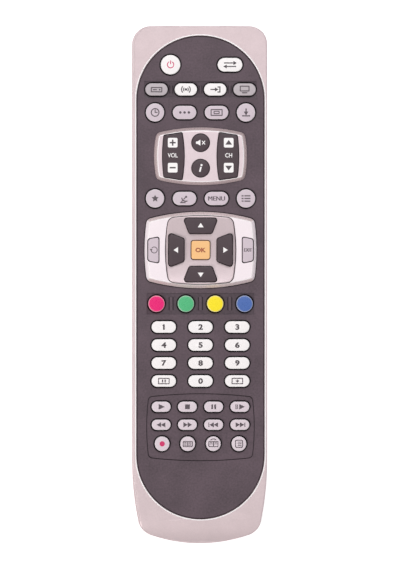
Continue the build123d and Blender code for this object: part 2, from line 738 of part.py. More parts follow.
def island(outline, window, pegs):
    """A raised trim piece on the panel: sloping skirt, openings, and pegs into the panel."""
    with BuildPart() as piece:
        with BuildSketch(Plane.XY.offset(PANEL_TOP_Z)):
            add(outline)
        extrude(amount=ISLAND_H)
        chamfer(piece.edges().group_by(Axis.Z)[-1], length=ISLAND_SKIRT)
        with BuildSketch(Plane.XY.offset(PANEL_TOP_Z)):
            add(window)
        extrude(amount=2 * ISLAND_H, mode=Mode.SUBTRACT)
        with BuildSketch(Plane.XY.offset(PANEL_TOP_Z)):
            with Locations(*pegs):
                Rectangle(PEG_SIDE, PEG_SIDE)
        extrude(amount=-PANEL_T)
    return piece.part


# Silver island round the two rockers, the mute key and the information key
with BuildPart() as volume_channel_bezel:
    with BuildSketch() as base:
        with Locations((0, VOLUME_Y)):
            add(volume_outline())
    add(island(base.sketch, key_holes(volume_keys, KEY_GAP), volume_pegs))

# Silver island round the navigation dish, with the two narrow end keys
with BuildPart() as navigation_bezel:
    with BuildSketch() as base:
        with Locations((0, NAVIGATION_Y)):
            add(navigation_outline())
    with BuildSketch() as windows:
        add(key_holes(end_keys, KEY_GAP))
        with Locations((0, NAVIGATION_Y)):
            add(dish_outline(0.2))
    add(island(base.sketch, windows.sketch, navigation_pegs))

# Hollow dish with the five navigation keys, a separate insert in its island
with BuildPart() as navigation_dish:
    with BuildSketch(Plane.XY.offset(PANEL_TOP_Z)):
        with Locations((0, NAVIGATION_Y)):
            add(dish_outline())
    extrude(amount=DISH_EDGE_H)
    # The hollow is part of a wide cylinder that lies across the remote.
    hollow_z = PANEL_TOP_Z + DISH_EDGE_H + math.sqrt(DISH_HOLLOW_R**2 - DISH_HALF**2)
    with Locations((0, NAVIGATION_Y, hollow_z)):
        Cylinder(DISH_HOLLOW_R, WIDTH, rotation=(0, 90, 0), mode=Mode.SUBTRACT)
    with BuildSketch(Plane.XY.offset(PANEL_TOP_Z)):
        add(key_holes(dish_keys, KEY_GAP))
    extrude(amount=2 * ISLAND_H, mode=Mode.SUBTRACT)
    with BuildSketch(Plane.XY.offset(PANEL_TOP_Z)):
        with Locations(*dish_pegs):
            Rectangle(PEG_SIDE, PEG_SIDE)
    extrude(amount=-PANEL_T)

# Circuit board
with BuildPart() as circuit_board:
    with BuildSketch(Plane.XY.offset(BOARD_TOP_Z)):
        add(casing_outline(BOARD_INSET))
        with Locations((0, (BOARD_NOSE_Y + BOARD_TAIL_Y) / 2)):
            Rectangle(WIDTH, BOARD_NOSE_Y - BOARD_TAIL_Y, mode=Mode.INTERSECT)
        with Locations(*board_pins):
            Rectangle(PIN_SIDE + 0.2, PIN_SIDE + 0.2, mode=Mode.SUBTRACT)
        with Locations((-CELL_X, BAY_FRONT_Y - 0.2), (CELL_X, BAY_FRONT_Y - 0.2)):
            Rectangle(3.0, 0.9, mode=Mode.SUBTRACT)
    extrude(amount=-BOARD_T)

# Rubber keypad mat on the board, with a window for the posts of each row of keys
with BuildPart() as keypad_mat:
    with BuildSketch(Plane.XY.offset(BOARD_TOP_Z)):
        add(casing_outline(BOARD_INSET + 0.6))
        with Locations((0, (BOARD_NOSE_Y + BOARD_TAIL_Y) / 2)):
            Rectangle(WIDTH, BOARD_NOSE_Y - BOARD_TAIL_Y - 2, mode=Mode.INTERSECT)
        for y in dict.fromkeys(round(post_box(key)[0][1], 3) for key in keys):
            row = [post_box(key) for key in keys if abs(post_box(key)[0][1] - y) < 0.01]
            low = min(centre[0] - size[0] / 2 for centre, size in row) - MAT_GAP
            high = max(centre[0] + size[0] / 2 for centre, size in row) + MAT_GAP
            tall = max(size[1] for centre, size in row) + 2 * MAT_GAP
            with Locations(((low + high) / 2, y)):
                Rectangle(high - low, tall, mode=Mode.SUBTRACT)
        for hand in (-1, 1):
            with Locations(*rocker_posts(hand)):
                side = ROCKER_POST_SIDE + 2 * MAT_GAP
                Rectangle(side, side, mode=Mode.SUBTRACT)
        with Locations((-CELL_X, BAY_FRONT_Y - 0.2), (CELL_X, BAY_FRONT_Y - 0.2)):
            Rectangle(3.4, 1.6, mode=Mode.SUBTRACT)
    extrude(amount=MAT_T)

# Parts soldered under the board: controller chip, resonator, capacitor, transistor, resistors
with BuildPart() as board_components:
    under = BOARD_TOP_Z - BOARD_T
    for x, y, width, length, height in [CHIP, RESONATOR, TRANSISTOR, *RESISTORS]:
        with Locations((x, y, under)):
            Box(width, length, height, align=(Align.CENTER, Align.CENTER, Align.MAX))
    with Locations((*CAPACITOR_AT, under - CAPACITOR_R)):
        Cylinder(CAPACITOR_R, CAPACITOR_L, rotation=(90, 0, 0))

# Infrared diode lying in the nose, its lens to the window
with BuildPart() as ir_led:
    with BuildSketch(Plane.XZ.offset(-LED_FOOT_Y)):
        with Locations((0, LED_Z)):
            RegularPolygon(LED_R, SMALL_SIDES)
    extrude(amount=-8.6)
    chamfer(ir_led.edges().group_by(Axis.Y)[-1], length=1.0)
    with BuildSketch(Plane.XZ.offset(-LED_FOOT_Y)):
        with Locations((0, LED_Z)):
            RegularPolygon(LED_R + 0.4, SMALL_SIDES)
    extrude(amount=-1.0)
    for x in (-1.27, 1.27):
        with Locations((x, LED_FOOT_Y, LED_Z)):
            Box(0.5, 5.0, 0.5, align=(Align.CENTER, Align.MAX, Align.CENTER))
        with Locations((x, LED_FOOT_Y - 4.75, LED_Z)):
            Box(0.5, 0.5, BOARD_TOP_Z - BOARD_T - LED_Z, align=(Align.CENTER, Align.CENTER, Align.MIN))

# Dark window in the nose, held by a flange behind the wall
with BuildPart() as ir_window:
    window_z = (EYE_LOW_Z + EYE_HIGH_Z) / 2
    with BuildSketch(Plane.XZ.offset(-(LENGTH / 2 - 0.25))):
        with Locations((0, window_z)):
            Rectangle(2 * EYE_HALF_W, EYE_HIGH_Z - EYE_LOW_Z)
    extrude(amount=1.85)
    with BuildSketch(Plane.XZ.offset(-(LENGTH / 2 - WALL - 0.3))):
        with Locations((0, window_z)):
            Rectangle(2 * EYE_HALF_W + 2, EYE_HIGH_Z - EYE_LOW_Z + 1.2)
    extrude(amount=1.1)


def spring_start_y(hand):
    """Where a cell's spring stands on its plate: the left one at the rear, the right one in front."""
    return BAY_REAR_Y + CONTACT_T if hand < 0 else BAY_FRONT_Y - CONTACT_T


# Two AAA cells, their nubs at opposite ends
with BuildPart() as batteries:
    for hand in (-1, 1):
        along = -hand
        foot_y = spring_start_y(hand) + along * SPRING_L
        with BuildSketch(Plane((hand * CELL_X, foot_y, CELL_Z), x_dir=(1, 0, 0), z_dir=(0, along, 0))):
            RegularPolygon(CELL_R, CELL_SIDES)
        extrude(amount=CELL_L - CELL_NUB_L)
        with BuildSketch(
            Plane(
                (hand * CELL_X, foot_y + along * (CELL_L - CELL_NUB_L), CELL_Z),
                x_dir=(1, 0, 0), z_dir=(0, along, 0),
            )
        ):
            RegularPolygon(CELL_NUB_R, SMALL_SIDES)
        extrude(amount=CELL_NUB_L)

# Contact plates: one across the rear of the bay, two at the front with solder tabs
with BuildPart() as battery_plates:
    plate_w, plate_h = 8.4, 8.6
    with Locations((0, BAY_REAR_Y + CONTACT_T / 2, CELL_Z)):
        Box(2 * CELL_X + plate_w, CONTACT_T, plate_h)
    with Locations((CELL_X, BAY_REAR_Y + CONTACT_T, CELL_Z)):
        Box(2.4, 2 * DIMPLE_H, 2.4)
    for hand in (-1, 1):
        with Locations((hand * CELL_X, BAY_FRONT_Y - CONTACT_T / 2, CELL_Z)):
            Box(plate_w, CONTACT_T, plate_h)
        with Locations((hand * CELL_X, BAY_FRONT_Y - CONTACT_T / 2, CELL_Z)):
            Box(2.2, CONTACT_T, BOARD_TOP_Z + 0.3 - CELL_Z, align=(Align.CENTER, Align.CENTER, Align.MIN))
    with Locations((-CELL_X, BAY_FRONT_Y - CONTACT_T, CELL_Z)):
        Box(2.4, 2 * DIMPLE_H, 2.4)


def spring_route(start, axis):
    """Centre line of one spring: a straight foot, a conical coil and a straight tip.

    Each half turn is a pair of arcs that meet in line, and so are the bends at both ends.
    """
    side = Vector(0, 0, 1)
    across = axis.cross(side)
    rise = SPRING_L - 2 * (SPRING_WIRE + SPRING_BEND_R)
    turn = SPRING_HALF_TURNS * math.pi
    narrowing = (SPRING_NARROW_R - SPRING_WIDE_R) / turn
    slope = rise / turn

    def point(angle):
        radius = SPRING_WIDE_R + narrowing * angle
        height = SPRING_WIRE + SPRING_BEND_R + slope * angle
        return start + axis * height + (side * math.cos(angle) + across * math.sin(angle)) * radius

    def tangent(angle):
        radius = SPRING_WIDE_R + narrowing * angle
        outward = side * math.cos(angle) + across * math.sin(angle)
        onward = across * math.cos(angle) - side * math.sin(angle)
        return (axis * slope + outward * narrowing + onward * radius).normalized()

    def bend_offset(direction):
        """From the straight wire's end to the coil's end, round a bend into the given direction."""
        level = direction - axis * axis.dot(direction)
        cosine = axis.dot(direction)
        sine = math.sqrt(1 - cosine**2)
        return (level.normalized() * (1 - cosine) + axis * sine) * SPRING_BEND_R

    with BuildLine() as route:
        foot_end = point(0) - bend_offset(tangent(0))
        Line(foot_end - axis * (foot_end - start).dot(axis), foot_end)
        TangentArc(foot_end, point(0), tangent=axis)
        for half in range(SPRING_HALF_TURNS):
            a, b = half * math.pi, (half + 1) * math.pi
            t0, t1 = tangent(a), tangent(b)
            chord = point(b) - point(a)
            lean = chord.dot(t0 + t1)
            spread = 2 * (1 - t0.dot(t1))
            reach = (math.sqrt(lean**2 + spread * chord.dot(chord)) - lean) / spread
            middle = (point(a) + point(b) + (t0 - t1) * reach) * 0.5
            TangentArc(point(a), middle, tangent=t0)
            TangentArc(middle, point(b), tangent=(point(b) - t1 * reach - middle).normalized())
        tip_start = point(turn) + bend_offset(tangent(turn))
        TangentArc(point(turn), tip_start, tangent=tangent(turn))
        Line(tip_start, tip_start + axis * (SPRING_L - (tip_start - start).dot(axis)))
    return Wire(route.edges())


def least_gap(route):
    """Smallest clear space between two stretches of the wire that lie half a turn or more apart."""
    steps = 240
    points = [route.position_at(i / steps) for i in range(steps + 1)]
    apart = int(math.pi * SPRING_NARROW_R / route.length * steps)
    pairs = ((p, q) for i, p in enumerate(points) for q in points[i + apart:])
    return min((p - q).length for p, q in pairs) - SPRING_WIRE


# Coil springs that push the flat ends of the cells, each one unbroken wire
with BuildPart() as battery_springs:
    for hand in (-1, 1):
        start = Vector(hand * CELL_X, spring_start_y(hand), CELL_Z)
        route = spring_route(start, Vector(0, -hand, 0))
        print("spring", hand, "least gap to itself", round(least_gap(route), 2), "mm")
        with BuildSketch(Plane(route.position_at(0), z_dir=(0, -hand, 0))):
            RegularPolygon(SPRING_WIRE / 2, 4)
        sweep(path=route)

# Battery door: slides off towards the tail and takes the lower tail wall with it
with BuildPart() as battery_door:
    add(casing_outer)
    add(hollow_form(DOOR_T), mode=Mode.SUBTRACT)
    with BuildSketch(Plane.XY.offset(-1)):
        with Locations((0, DOOR_FRONT_Y)):
            Rectangle(2 * DOOR_HALF_W, FAR, align=(Align.CENTER, Align.MAX))
    extrude(amount=1 + DOOR_END_Z, mode=Mode.INTERSECT)
    # Hooks under the rails
    hook_x = RAIL_INNER_X - 0.3
    hook_foot = DOOR_T + 0.1 + RAIL_T + DOOR_GAP
    for hand in (-1, 1):
        inward = Align.MAX if hand > 0 else Align.MIN
        outward = Align.MIN if hand > 0 else Align.MAX
        for y in HOOK_YS:
            with Locations((hand * hook_x, y, DOOR_T - 0.1)):
                Box(1.1, HOOK_L, hook_foot + HOOK_T - DOOR_T + 0.1, align=(inward, Align.CENTER, Align.MIN))
            with Locations((hand * (hook_x - 0.2), y, hook_foot)):
                Box(1.5, HOOK_L, HOOK_T, align=(outward, Align.CENTER, Align.MIN))
    # Two tongues that reach over the back wall at the front edge
    for hand in (-1, 1):
        with Locations((hand * TONGUE_X, DOOR_FRONT_Y, DOOR_T - 0.1)):
            Box(TONGUE_W, TONGUE_W, 0.6, align=(Align.CENTER, Align.MAX, Align.MIN))
        with Locations((hand * TONGUE_X, DOOR_FRONT_Y - TONGUE_W, DOOR_T + 0.4)):
            Box(TONGUE_W, TONGUE_W + 2.2, TONGUE_T, align=(Align.CENTER, Align.MIN, Align.MIN))
    # Grooves for the thumb, getting shorter towards the tail
    for step in range(THUMB_GROOVES):
        with Locations((0, THUMB_Y - THUMB_PITCH * step, 0)):
            Box(THUMB_W - 2 * step, 1.0, THUMB_DEPTH, mode=Mode.SUBTRACT)

# Two self-tapping screws
with BuildPart() as case_screws:
    with BuildSketch(Plane.XY.offset(SCREW_SEAT_Z)):
        with Locations(*screw_places):
            RegularPolygon(SCREW_HEAD_R, SMALL_SIDES)
    extrude(amount=-SCREW_HEAD_H)
    with BuildSketch(Plane.XY.offset(SCREW_SEAT_Z)):
        with Locations(*screw_places):
            RegularPolygon(SCREW_SHANK_R, SMALL_SIDES)
    extrude(amount=10.0)

pieces = {
    "lower_case": lower_case.part,
    "upper_case": upper_case.part,
    "face_panel": face_panel.part,
    "volume_channel_bezel": volume_channel_bezel.part,
    "navigation_bezel": navigation_bezel.part,
    "navigation_dish": navigation_dish.part,
    "circuit_board": circuit_board.part,
    "keypad_mat": keypad_mat.part,
    "board_components": board_components.part,
    "ir_led": ir_led.part,
    "ir_window": ir_window.part,
    "batteries": batteries.part,
    "battery_plates": battery_plates.part,
    "battery_springs": battery_springs.part,
    "battery_door": battery_door.part,
    "case_screws": case_screws.part,
}
for key in rockers:
    pieces[key.node] = rocker_body(key)
for node in dict.fromkeys(key.node for key in keys):
    with BuildPart() as group:
        for key in keys:
            if key.node == node:
                add(key_body(key))
    pieces[node] = group.part

os.makedirs("parts", exist_ok=True)
for node, part in pieces.items():
    part.label = node
    export_step(part, f"parts/{node}.step")
print(len(pieces), "pieces")
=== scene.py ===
"""A satellite receiver remote control: the finish of its casing, panel, islands, keys and battery bay."""
import math
from contextlib import contextmanager

import bmesh
import bpy
from mathutils import Matrix, Vector


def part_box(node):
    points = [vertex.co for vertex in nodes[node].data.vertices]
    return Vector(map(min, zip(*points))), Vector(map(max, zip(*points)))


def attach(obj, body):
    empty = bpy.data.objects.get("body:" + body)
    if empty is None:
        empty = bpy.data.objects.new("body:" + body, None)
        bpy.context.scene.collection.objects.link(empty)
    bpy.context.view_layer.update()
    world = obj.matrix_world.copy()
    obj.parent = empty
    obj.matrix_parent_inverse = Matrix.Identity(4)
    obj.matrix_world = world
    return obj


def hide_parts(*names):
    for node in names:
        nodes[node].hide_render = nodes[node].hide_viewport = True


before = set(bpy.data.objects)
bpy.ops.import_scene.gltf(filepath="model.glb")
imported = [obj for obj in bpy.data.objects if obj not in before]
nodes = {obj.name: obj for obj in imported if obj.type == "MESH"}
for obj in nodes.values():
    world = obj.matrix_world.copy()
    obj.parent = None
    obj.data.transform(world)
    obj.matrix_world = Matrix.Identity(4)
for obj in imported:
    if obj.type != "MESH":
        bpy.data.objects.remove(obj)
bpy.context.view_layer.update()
scene = bpy.context.scene
MM = 0.001

# The table and the light: a white sheet under the remote, a soft overcast sky, a small softbox beyond the
# nose and a stronger one beyond the tail on the left, which makes the islands' left slopes lighter.
FLOOR_DROP = 0.2 * MM
SKY_STRENGTH = 0.37
PAPER_GLOW = 0.62  # how much light of its own the paper shows to the camera and in reflections


def place_lamp(name, place, size, power, colour):
    """A square softbox that faces the remote."""
    lamp = bpy.data.lights.new(name, "AREA")
    lamp.shape = "SQUARE"
    lamp.size = size
    lamp.energy = power
    lamp.color = colour
    holder = bpy.data.objects.new(name, lamp)
    holder.location = place
    holder.rotation_euler = (-Vector(place)).to_track_quat("-Z", "Y").to_euler()
    scene.collection.objects.link(holder)


def added(operator, **settings):
    """The piece that the operator adds, with nothing else selected."""
    bpy.ops.object.select_all(action="DESELECT")
    operator(**settings)
    return bpy.context.object


place_lamp("lamp_over_nose", (0.1, 0.55, 0.8), 0.5, 3.9, (1.0, 1.0, 1.0))
place_lamp("lamp_on_the_left", (-0.62, -0.5, 1.0), 0.6, 7.0, (1.0, 0.965, 0.925))
world = bpy.data.worlds.new("overcast")
scene.world = world
world.use_nodes = True
sky = world.node_tree.nodes["Background"]
sky.inputs["Color"].default_value = (1.0, 0.985, 0.99, 1)
sky.inputs["Strength"].default_value = SKY_STRENGTH

floor = added(bpy.ops.mesh.primitive_plane_add, size=4.0, location=(0, 0, -FLOOR_DROP))
floor.name = "floor"
paper = bpy.data.materials.new("white_paper")
paper.use_nodes = True
tree = paper.node_tree
link = tree.links.new
tree.nodes.clear()
out = tree.nodes.new("ShaderNodeOutputMaterial")
matt = tree.nodes.new("ShaderNodeBsdfDiffuse")
matt.inputs["Color"].default_value = (0.86, 0.86, 0.86, 1)
glow = tree.nodes.new("ShaderNodeEmission")
ray = tree.nodes.new("ShaderNodeLightPath")
camera_or_mirror = tree.nodes.new("ShaderNodeMath")
camera_or_mirror.operation = "MAXIMUM"
share = tree.nodes.new("ShaderNodeMath")
share.operation = "MULTIPLY"
share.inputs[1].default_value = PAPER_GLOW
total = tree.nodes.new("ShaderNodeAddShader")
link(ray.outputs["Is Camera Ray"], camera_or_mirror.inputs[0])
link(ray.outputs["Is Glossy Ray"], camera_or_mirror.inputs[1])
link(camera_or_mirror.outputs[0], share.inputs[0])
link(share.outputs[0], glow.inputs["Strength"])
link(matt.outputs[0], total.inputs[0])
link(glow.outputs[0], total.inputs[1])
link(total.outputs[0], out.inputs["Surface"])
floor.data.materials.append(paper)

# The camera: far above the remote, which lies on its back, and a touch to its left, as in the photograph.
# One pixel of the picture is the same length on the remote as one of the photograph.
CAMERA_DISTANCE = 4.0
CAMERA_YAW = math.radians(2.0)
AIM = Vector((-0.0002, -0.0002, 0.021))
PIXEL = 0.4 * MM  # one pixel of the photograph on the remote's face
PHOTO_ROWS = 570
SENSOR = 36.0  # in millimetres, as Blender wants it
camera = bpy.data.objects.new("camera", bpy.data.cameras.new("camera"))
scene.collection.objects.link(camera)
camera.location = AIM + CAMERA_DISTANCE * Vector((-math.sin(CAMERA_YAW), 0, math.cos(CAMERA_YAW)))
camera.rotation_euler = (0, -CAMERA_YAW, 0)
camera.data.sensor_width = SENSOR
camera.data.lens = SENSOR * CAMERA_DISTANCE / (PHOTO_ROWS * PIXEL)
camera.data.clip_end = 20
scene.camera = camera
scene.view_settings.view_transform = "Standard"


# The casing: two shells and a sliding battery door, moulded in plastic and sprayed with a fine silver
# lacquer that has a faint pink cast. The shells are screwed together at the nose and hooked at the tail.
CLOUD_SHARE = 0.06  # the scale of a finish's soft clouds against that of its fine grain
GLOSS_SPREAD = (-0.05, 0.07)  # how far the grain takes the roughness down and up
SAME_POINT = 1e-6
SAME_PLANE = math.radians(0.2)
LEVEL = 0.9999  # the upward part of a level face's normal
LARGE_FACE_WEIGHT = 90


def noise(tree, scale, detail=2.0, roughness=0.5):
    """Noise over the object's own coordinates, with a grain of about 1/scale metres."""
    place = tree.nodes.new("ShaderNodeTexCoord")
    grain = tree.nodes.new("ShaderNodeTexNoise")
    grain.inputs["Scale"].default_value = scale
    grain.inputs["Detail"].default_value = detail
    grain.inputs["Roughness"].default_value = roughness
    tree.links.new(place.outputs["Object"], grain.inputs["Vector"])
    return grain.outputs["Fac"]


def stretch(tree, value, low, high, start=0.35, end=0.65):
    """The value spread from start..end to low..high."""
    spread = tree.nodes.new("ShaderNodeMapRange")
    spread.inputs["From Min"].default_value = start
    spread.inputs["From Max"].default_value = end
    spread.inputs["To Min"].default_value = low
    spread.inputs["To Max"].default_value = high
    tree.links.new(value, spread.inputs["Value"])
    return spread.outputs["Result"]


def blend_colours(tree, share, first, second):
    """A colour between the first and the second, by share."""
    mix = tree.nodes.new("ShaderNodeMix")
    mix.data_type = "RGBA"
    mix.inputs["A"].default_value = (*first, 1)
    mix.inputs["B"].default_value = (*second, 1)
    tree.links.new(share, mix.inputs["Factor"])
    return mix.outputs["Result"]


def moulded(name, colour, variation=0.04, grain=2500, roughness=0.45, relief=0.004, edge=0.0, **sockets):
    """A moulded finish: uneven colour, a fine grain in gloss and relief, and softened edges. The relief and
    the radius of the edges are in millimetres."""
    material = bpy.data.materials.new(name)
    material.use_nodes = True
    tree = material.node_tree
    link = tree.links.new
    shader = tree.nodes["Principled BSDF"]
    low = [c * (1 - variation) for c in colour]
    high = [min(1.0, c * (1 + variation)) for c in colour]
    cloud = noise(tree, grain * CLOUD_SHARE, 4.0, 0.6)
    speck = noise(tree, grain)
    both = tree.nodes.new("ShaderNodeMath")
    both.operation = "MULTIPLY_ADD"
    both.inputs[1].default_value = 0.5
    half = tree.nodes.new("ShaderNodeMath")
    half.operation = "MULTIPLY"
    half.inputs[1].default_value = 0.5
    link(cloud, half.inputs[0])
    link(speck, both.inputs[0])
    link(half.outputs[0], both.inputs[2])
    mixed = blend_colours(tree, stretch(tree, both.outputs[0], 0, 1), low, high)
    gloss = stretch(tree, speck, *(roughness + change for change in GLOSS_SPREAD))
    link(mixed, shader.inputs["Base Color"])
    link(gloss, shader.inputs["Roughness"])
    bump = tree.nodes.new("ShaderNodeBump")
    bump.inputs["Distance"].default_value = relief * MM
    bump.inputs["Strength"].default_value = 1.0
    link(speck, bump.inputs["Height"])
    if edge:
        rounded = tree.nodes.new("ShaderNodeBevel")
        rounded.samples = 4
        rounded.inputs["Radius"].default_value = edge * MM
        link(rounded.outputs["Normal"], bump.inputs["Normal"])
    link(bump.outputs["Normal"], shader.inputs["Normal"])
    for socket, value in sockets.items():
        shader.inputs[socket.replace("_", " ")].default_value = value
    return material


def paint(piece, *finishes):
    """Give the piece these materials and no others."""
    piece.data.materials.clear()
    for finish in finishes:
        piece.data.materials.append(finish)


def stand_in(piece, body, node):
    """The piece moves with the body and is shown for the CAD node."""
    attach(piece, body)
    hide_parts(node)


@contextmanager
def editing():
    """Edit mode on the active piece."""
    bpy.ops.object.mode_set(mode="EDIT")
    yield
    bpy.ops.object.mode_set(mode="OBJECT")


def only(piece):
    """Select this piece alone and make it the active one."""
    bpy.ops.object.select_all(action="DESELECT")
    piece.select_set(True)
    bpy.context.view_layer.objects.active = piece
    return piece


def soften(piece, angle=35):
    """Shade the piece smooth, apart from its sharp edges."""
    only(piece)
    bpy.ops.object.shade_smooth_by_angle(angle=math.radians(angle))


def modify(piece, kind, **settings):
    """Put a modifier with these settings on the piece and apply it."""
    modifier = only(piece).modifiers.new("change", kind)
    for setting, value in settings.items():
        setattr(modifier, setting, value)
    bpy.ops.object.modifier_apply(modifier=modifier.name)


def even_out(piece):
    """Let the large faces keep their own direction where they meet small rounded ones."""
    modify(piece, "WEIGHTED_NORMAL", keep_sharp=True, weight=LARGE_FACE_WEIGHT)


def dressed_copy(node, name, material):
    """A copy of a CAD node with its corners merged and its flat faces made whole, to be shaded smooth."""
    piece = bpy.data.objects.new(name, nodes[node].data.copy())
    scene.collection.objects.link(piece)
    piece.data.transform(nodes[node].matrix_world)
    only(piece)
    with editing():
        bpy.ops.mesh.select_all(action="SELECT")
        bpy.ops.mesh.remove_doubles(threshold=SAME_POINT)
        bpy.ops.mesh.dissolve_limited(angle_limit=SAME_PLANE)
    paint(piece, material)
    return piece


def pick(kind, test):
    """In edit mode, select only the vertices, edges or faces that pass the test, given with their middle."""
    bpy.ops.mesh.select_mode(type=kind)
    bpy.ops.mesh.select_all(action="DESELECT")
    mesh = bmesh.from_edit_mesh(bpy.context.object.data)
    items = {"VERT": mesh.verts, "EDGE": mesh.edges, "FACE": mesh.faces}[kind]
    for item in items:
        points = [item.co] if kind == "VERT" else [v.co for v in item.verts]
        if test(item, sum(points, Vector()) / len(points)):
            item.select_set(True)
    bmesh.update_edit_mesh(bpy.context.object.data)


def crease_flats(piece):
    """Keep the level faces free of the shading of the rounded ones beside them."""
    only(piece)
    with editing():
        pick("EDGE", lambda edge, at: sum(abs(face.normal.z) > LEVEL for face in edge.link_faces) == 1)
        bpy.ops.mesh.mark_sharp()


silver = moulded("silver_lacquer", (0.715, 0.590, 0.615), 0.05, 2600, 0.42, 0.006, 0.2, Metallic=0.25)
for node, body in (("lower_case", "casing"), ("upper_case", "casing"), ("battery_door", "battery_door")):
    shell = dressed_copy(node, node + "_shell", silver)
    soften(shell, 30)
    crease_flats(shell)
    even_out(shell)
    stand_in(shell, body, node)

# The dark panel: a slab with full round ends, moulded in dark matt plastic and laid in the upper shell's
# opening. It has sunken fields, whose floors are painted darker as shade, and a hole for each key, whose
# walls are painted near black as the shade in the gap. Its holes follow the sizes of the keys and of the
# islands on it, so those come first, in millimetres.
FLAT = 1e-6  # how far apart two heights in metres may be and still count as one
NEAR = 1e-5
ROUND_STEPS = 8
SIDE_CUTS, END_CUTS = 5, 9
CUT_SPAN = 0.1 * MM  # how far a point may be from a cut's place and still belong to it
HOLE_ROUNDING = 0.6  # how much of its gap a hole adds to the rounding of its key
QUARTERS = [(-1, -1), (1, -1), (1, 1), (-1, 1)]


def join(pieces, name):
    """Join the pieces into one mesh of that name."""
    bpy.ops.object.select_all(action="DESELECT")
    for piece in pieces:
        piece.select_set(True)
    bpy.context.view_layer.objects.active = pieces[0]
    if len(pieces) > 1:
        bpy.ops.object.join()
    pieces[0].name = name
    return pieces[0]


def settle(piece):
    """Put the piece's place, turn and scale into its mesh."""
    only(piece)
    bpy.ops.object.transform_apply(location=True, rotation=True, scale=True)
    return piece


def move(piece, place, up=0):
    """Move the piece's mesh by the place."""
    piece.data.transform(Matrix.Translation((*place, up)))
    return piece


def shift(test, x, y, z=0):
    """In edit mode, move the points that pass the test."""
    pick("VERT", test)
    bpy.ops.transform.translate(value=(x, y, z))


def bevel(width, steps, test, **more):
    """In edit mode, bevel the edges that pass the test."""
    pick("EDGE", test)
    bpy.ops.mesh.bevel(offset=width, segments=steps, affect="EDGES", **more)


def capsule(width, height, low, high, at=(0, 0), sides=64):
    """An upright block with round ends, or a disc where both sizes are the same."""
    piece = settle(added(
        bpy.ops.mesh.primitive_cylinder_add, vertices=sides, radius=min(width, height) / 2, depth=high - low,
        location=(0, 0, (low + high) / 2), rotation=(0, 0, math.pi / sides),
    ))
    if width != height:
        with editing():
            for hand in (-1, 1):
                shift(lambda vert, spot: spot.x * hand > 0, hand * (width - height) / 2, 0)
    return move(piece, at)


def is_level(edge):
    """Whether both ends of the edge are at one height."""
    return abs(edge.verts[0].co.z - edge.verts[1].co.z) < FLAT


def shares(cuts):
    """The places of the cuts along a line from -1 to 1."""
    return [2 * cut / (cuts + 1) - 1 for cut in range(1, cuts + 1)]


def block(corners, rounding, low, high, bows=(0, 0), ends=0):
    """A block over the four corners in millimetres, anticlockwise from the lower left, each upright edge
    rounded by its own amount; bows and ends are how far the sides and both ends swell outwards."""
    piece = added(bpy.ops.mesh.primitive_cube_add, size=MM, location=(0, 0, (low + high) / 2))
    piece.scale.z = (high - low) / MM
    settle(piece)
    with editing():
        for (side_x, side_y), (x, y) in zip(QUARTERS, corners):
            start = Vector((side_x * MM / 2, side_y * MM / 2))
            shift(lambda vert, at: (at.xy - start).length < NEAR, x * MM - start.x, y * MM - start.y)
        if any(bows):
            middle_x = sum(x for x, y in corners) / 4 * MM
            pick("EDGE", lambda edge, at: abs(at.y) < NEAR and is_level(edge))
            bpy.ops.mesh.subdivide(number_cuts=SIDE_CUTS)
            for share in shares(SIDE_CUTS):
                for hand, bow, corner in ((-1, bows[0], corners[3]), (1, bows[1], corners[2])):
                    row_y = share * corner[1] * MM
                    shift(lambda vert, at: hand * (at.x - middle_x) > 0 and abs(at.y - row_y) < CUT_SPAN,
                          hand * bow * MM * (1 - share**2), 0)
        if ends:
            half_x, half_y = (length * MM for length in corners[2])
            pick("EDGE", lambda edge, at: abs(at.x) < NEAR and abs(abs(at.y) - half_y) < NEAR)
            bpy.ops.mesh.subdivide(number_cuts=END_CUTS)
            for share in shares(END_CUTS):
                for hand in (-1, 1):
                    shift(lambda vert, at: hand * at.y > half_y / 2 and abs(at.x - share * half_x) < CUT_SPAN,
                          0, hand * ends * MM * (1 - share**2))
            bpy.ops.mesh.select_all(action="SELECT")
            bpy.ops.mesh.dissolve_limited(angle_limit=SAME_PLANE)
        for (x, y), amount in zip(corners, rounding):
            corner = Vector((x, y)) * MM
            bevel(amount * MM, ROUND_STEPS, lambda edge, at: (at.xy - corner).length < NEAR)
    return piece


def grown(corners, lip):
    """The corners of the outline whose sides all stand further out by the lip."""
    sides = []
    for (x, y), (next_x, next_y) in zip(corners, corners[1:] + corners[:1]):
        length = math.hypot(next_x - x, next_y - y)
        across, along = (next_y - y) / length, (x - next_x) / length
        sides.append((across, along, across * x + along * y + lip))
    moved = []
    for (a, b, c), (d, e, f) in zip(sides[-1:] + sides[:-1], sides):
        moved.append(((c * e - b * f) / (a * e - b * d), (a * f - c * d) / (a * e - b * d)))
    return moved


def turned(corners, degrees):
    """The corners turned about the origin."""
    c, s = math.cos(math.radians(degrees)), math.sin(math.radians(degrees))
    return [(x * c - y * s, x * s + y * c) for x, y in corners]


def middle(node):
    """The middle of a CAD node, seen from the front."""
    low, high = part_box(node)
    return (low.x + high.x) / 2, (low.y + high.y) / 2


def carve(piece, cutters):
    """Cut all the cutters out of the piece."""
    cutter = join(cutters, "cutter")
    modify(piece, "BOOLEAN", operation="DIFFERENCE", solver="EXACT", object=cutter)
    bpy.data.objects.remove(cutter)


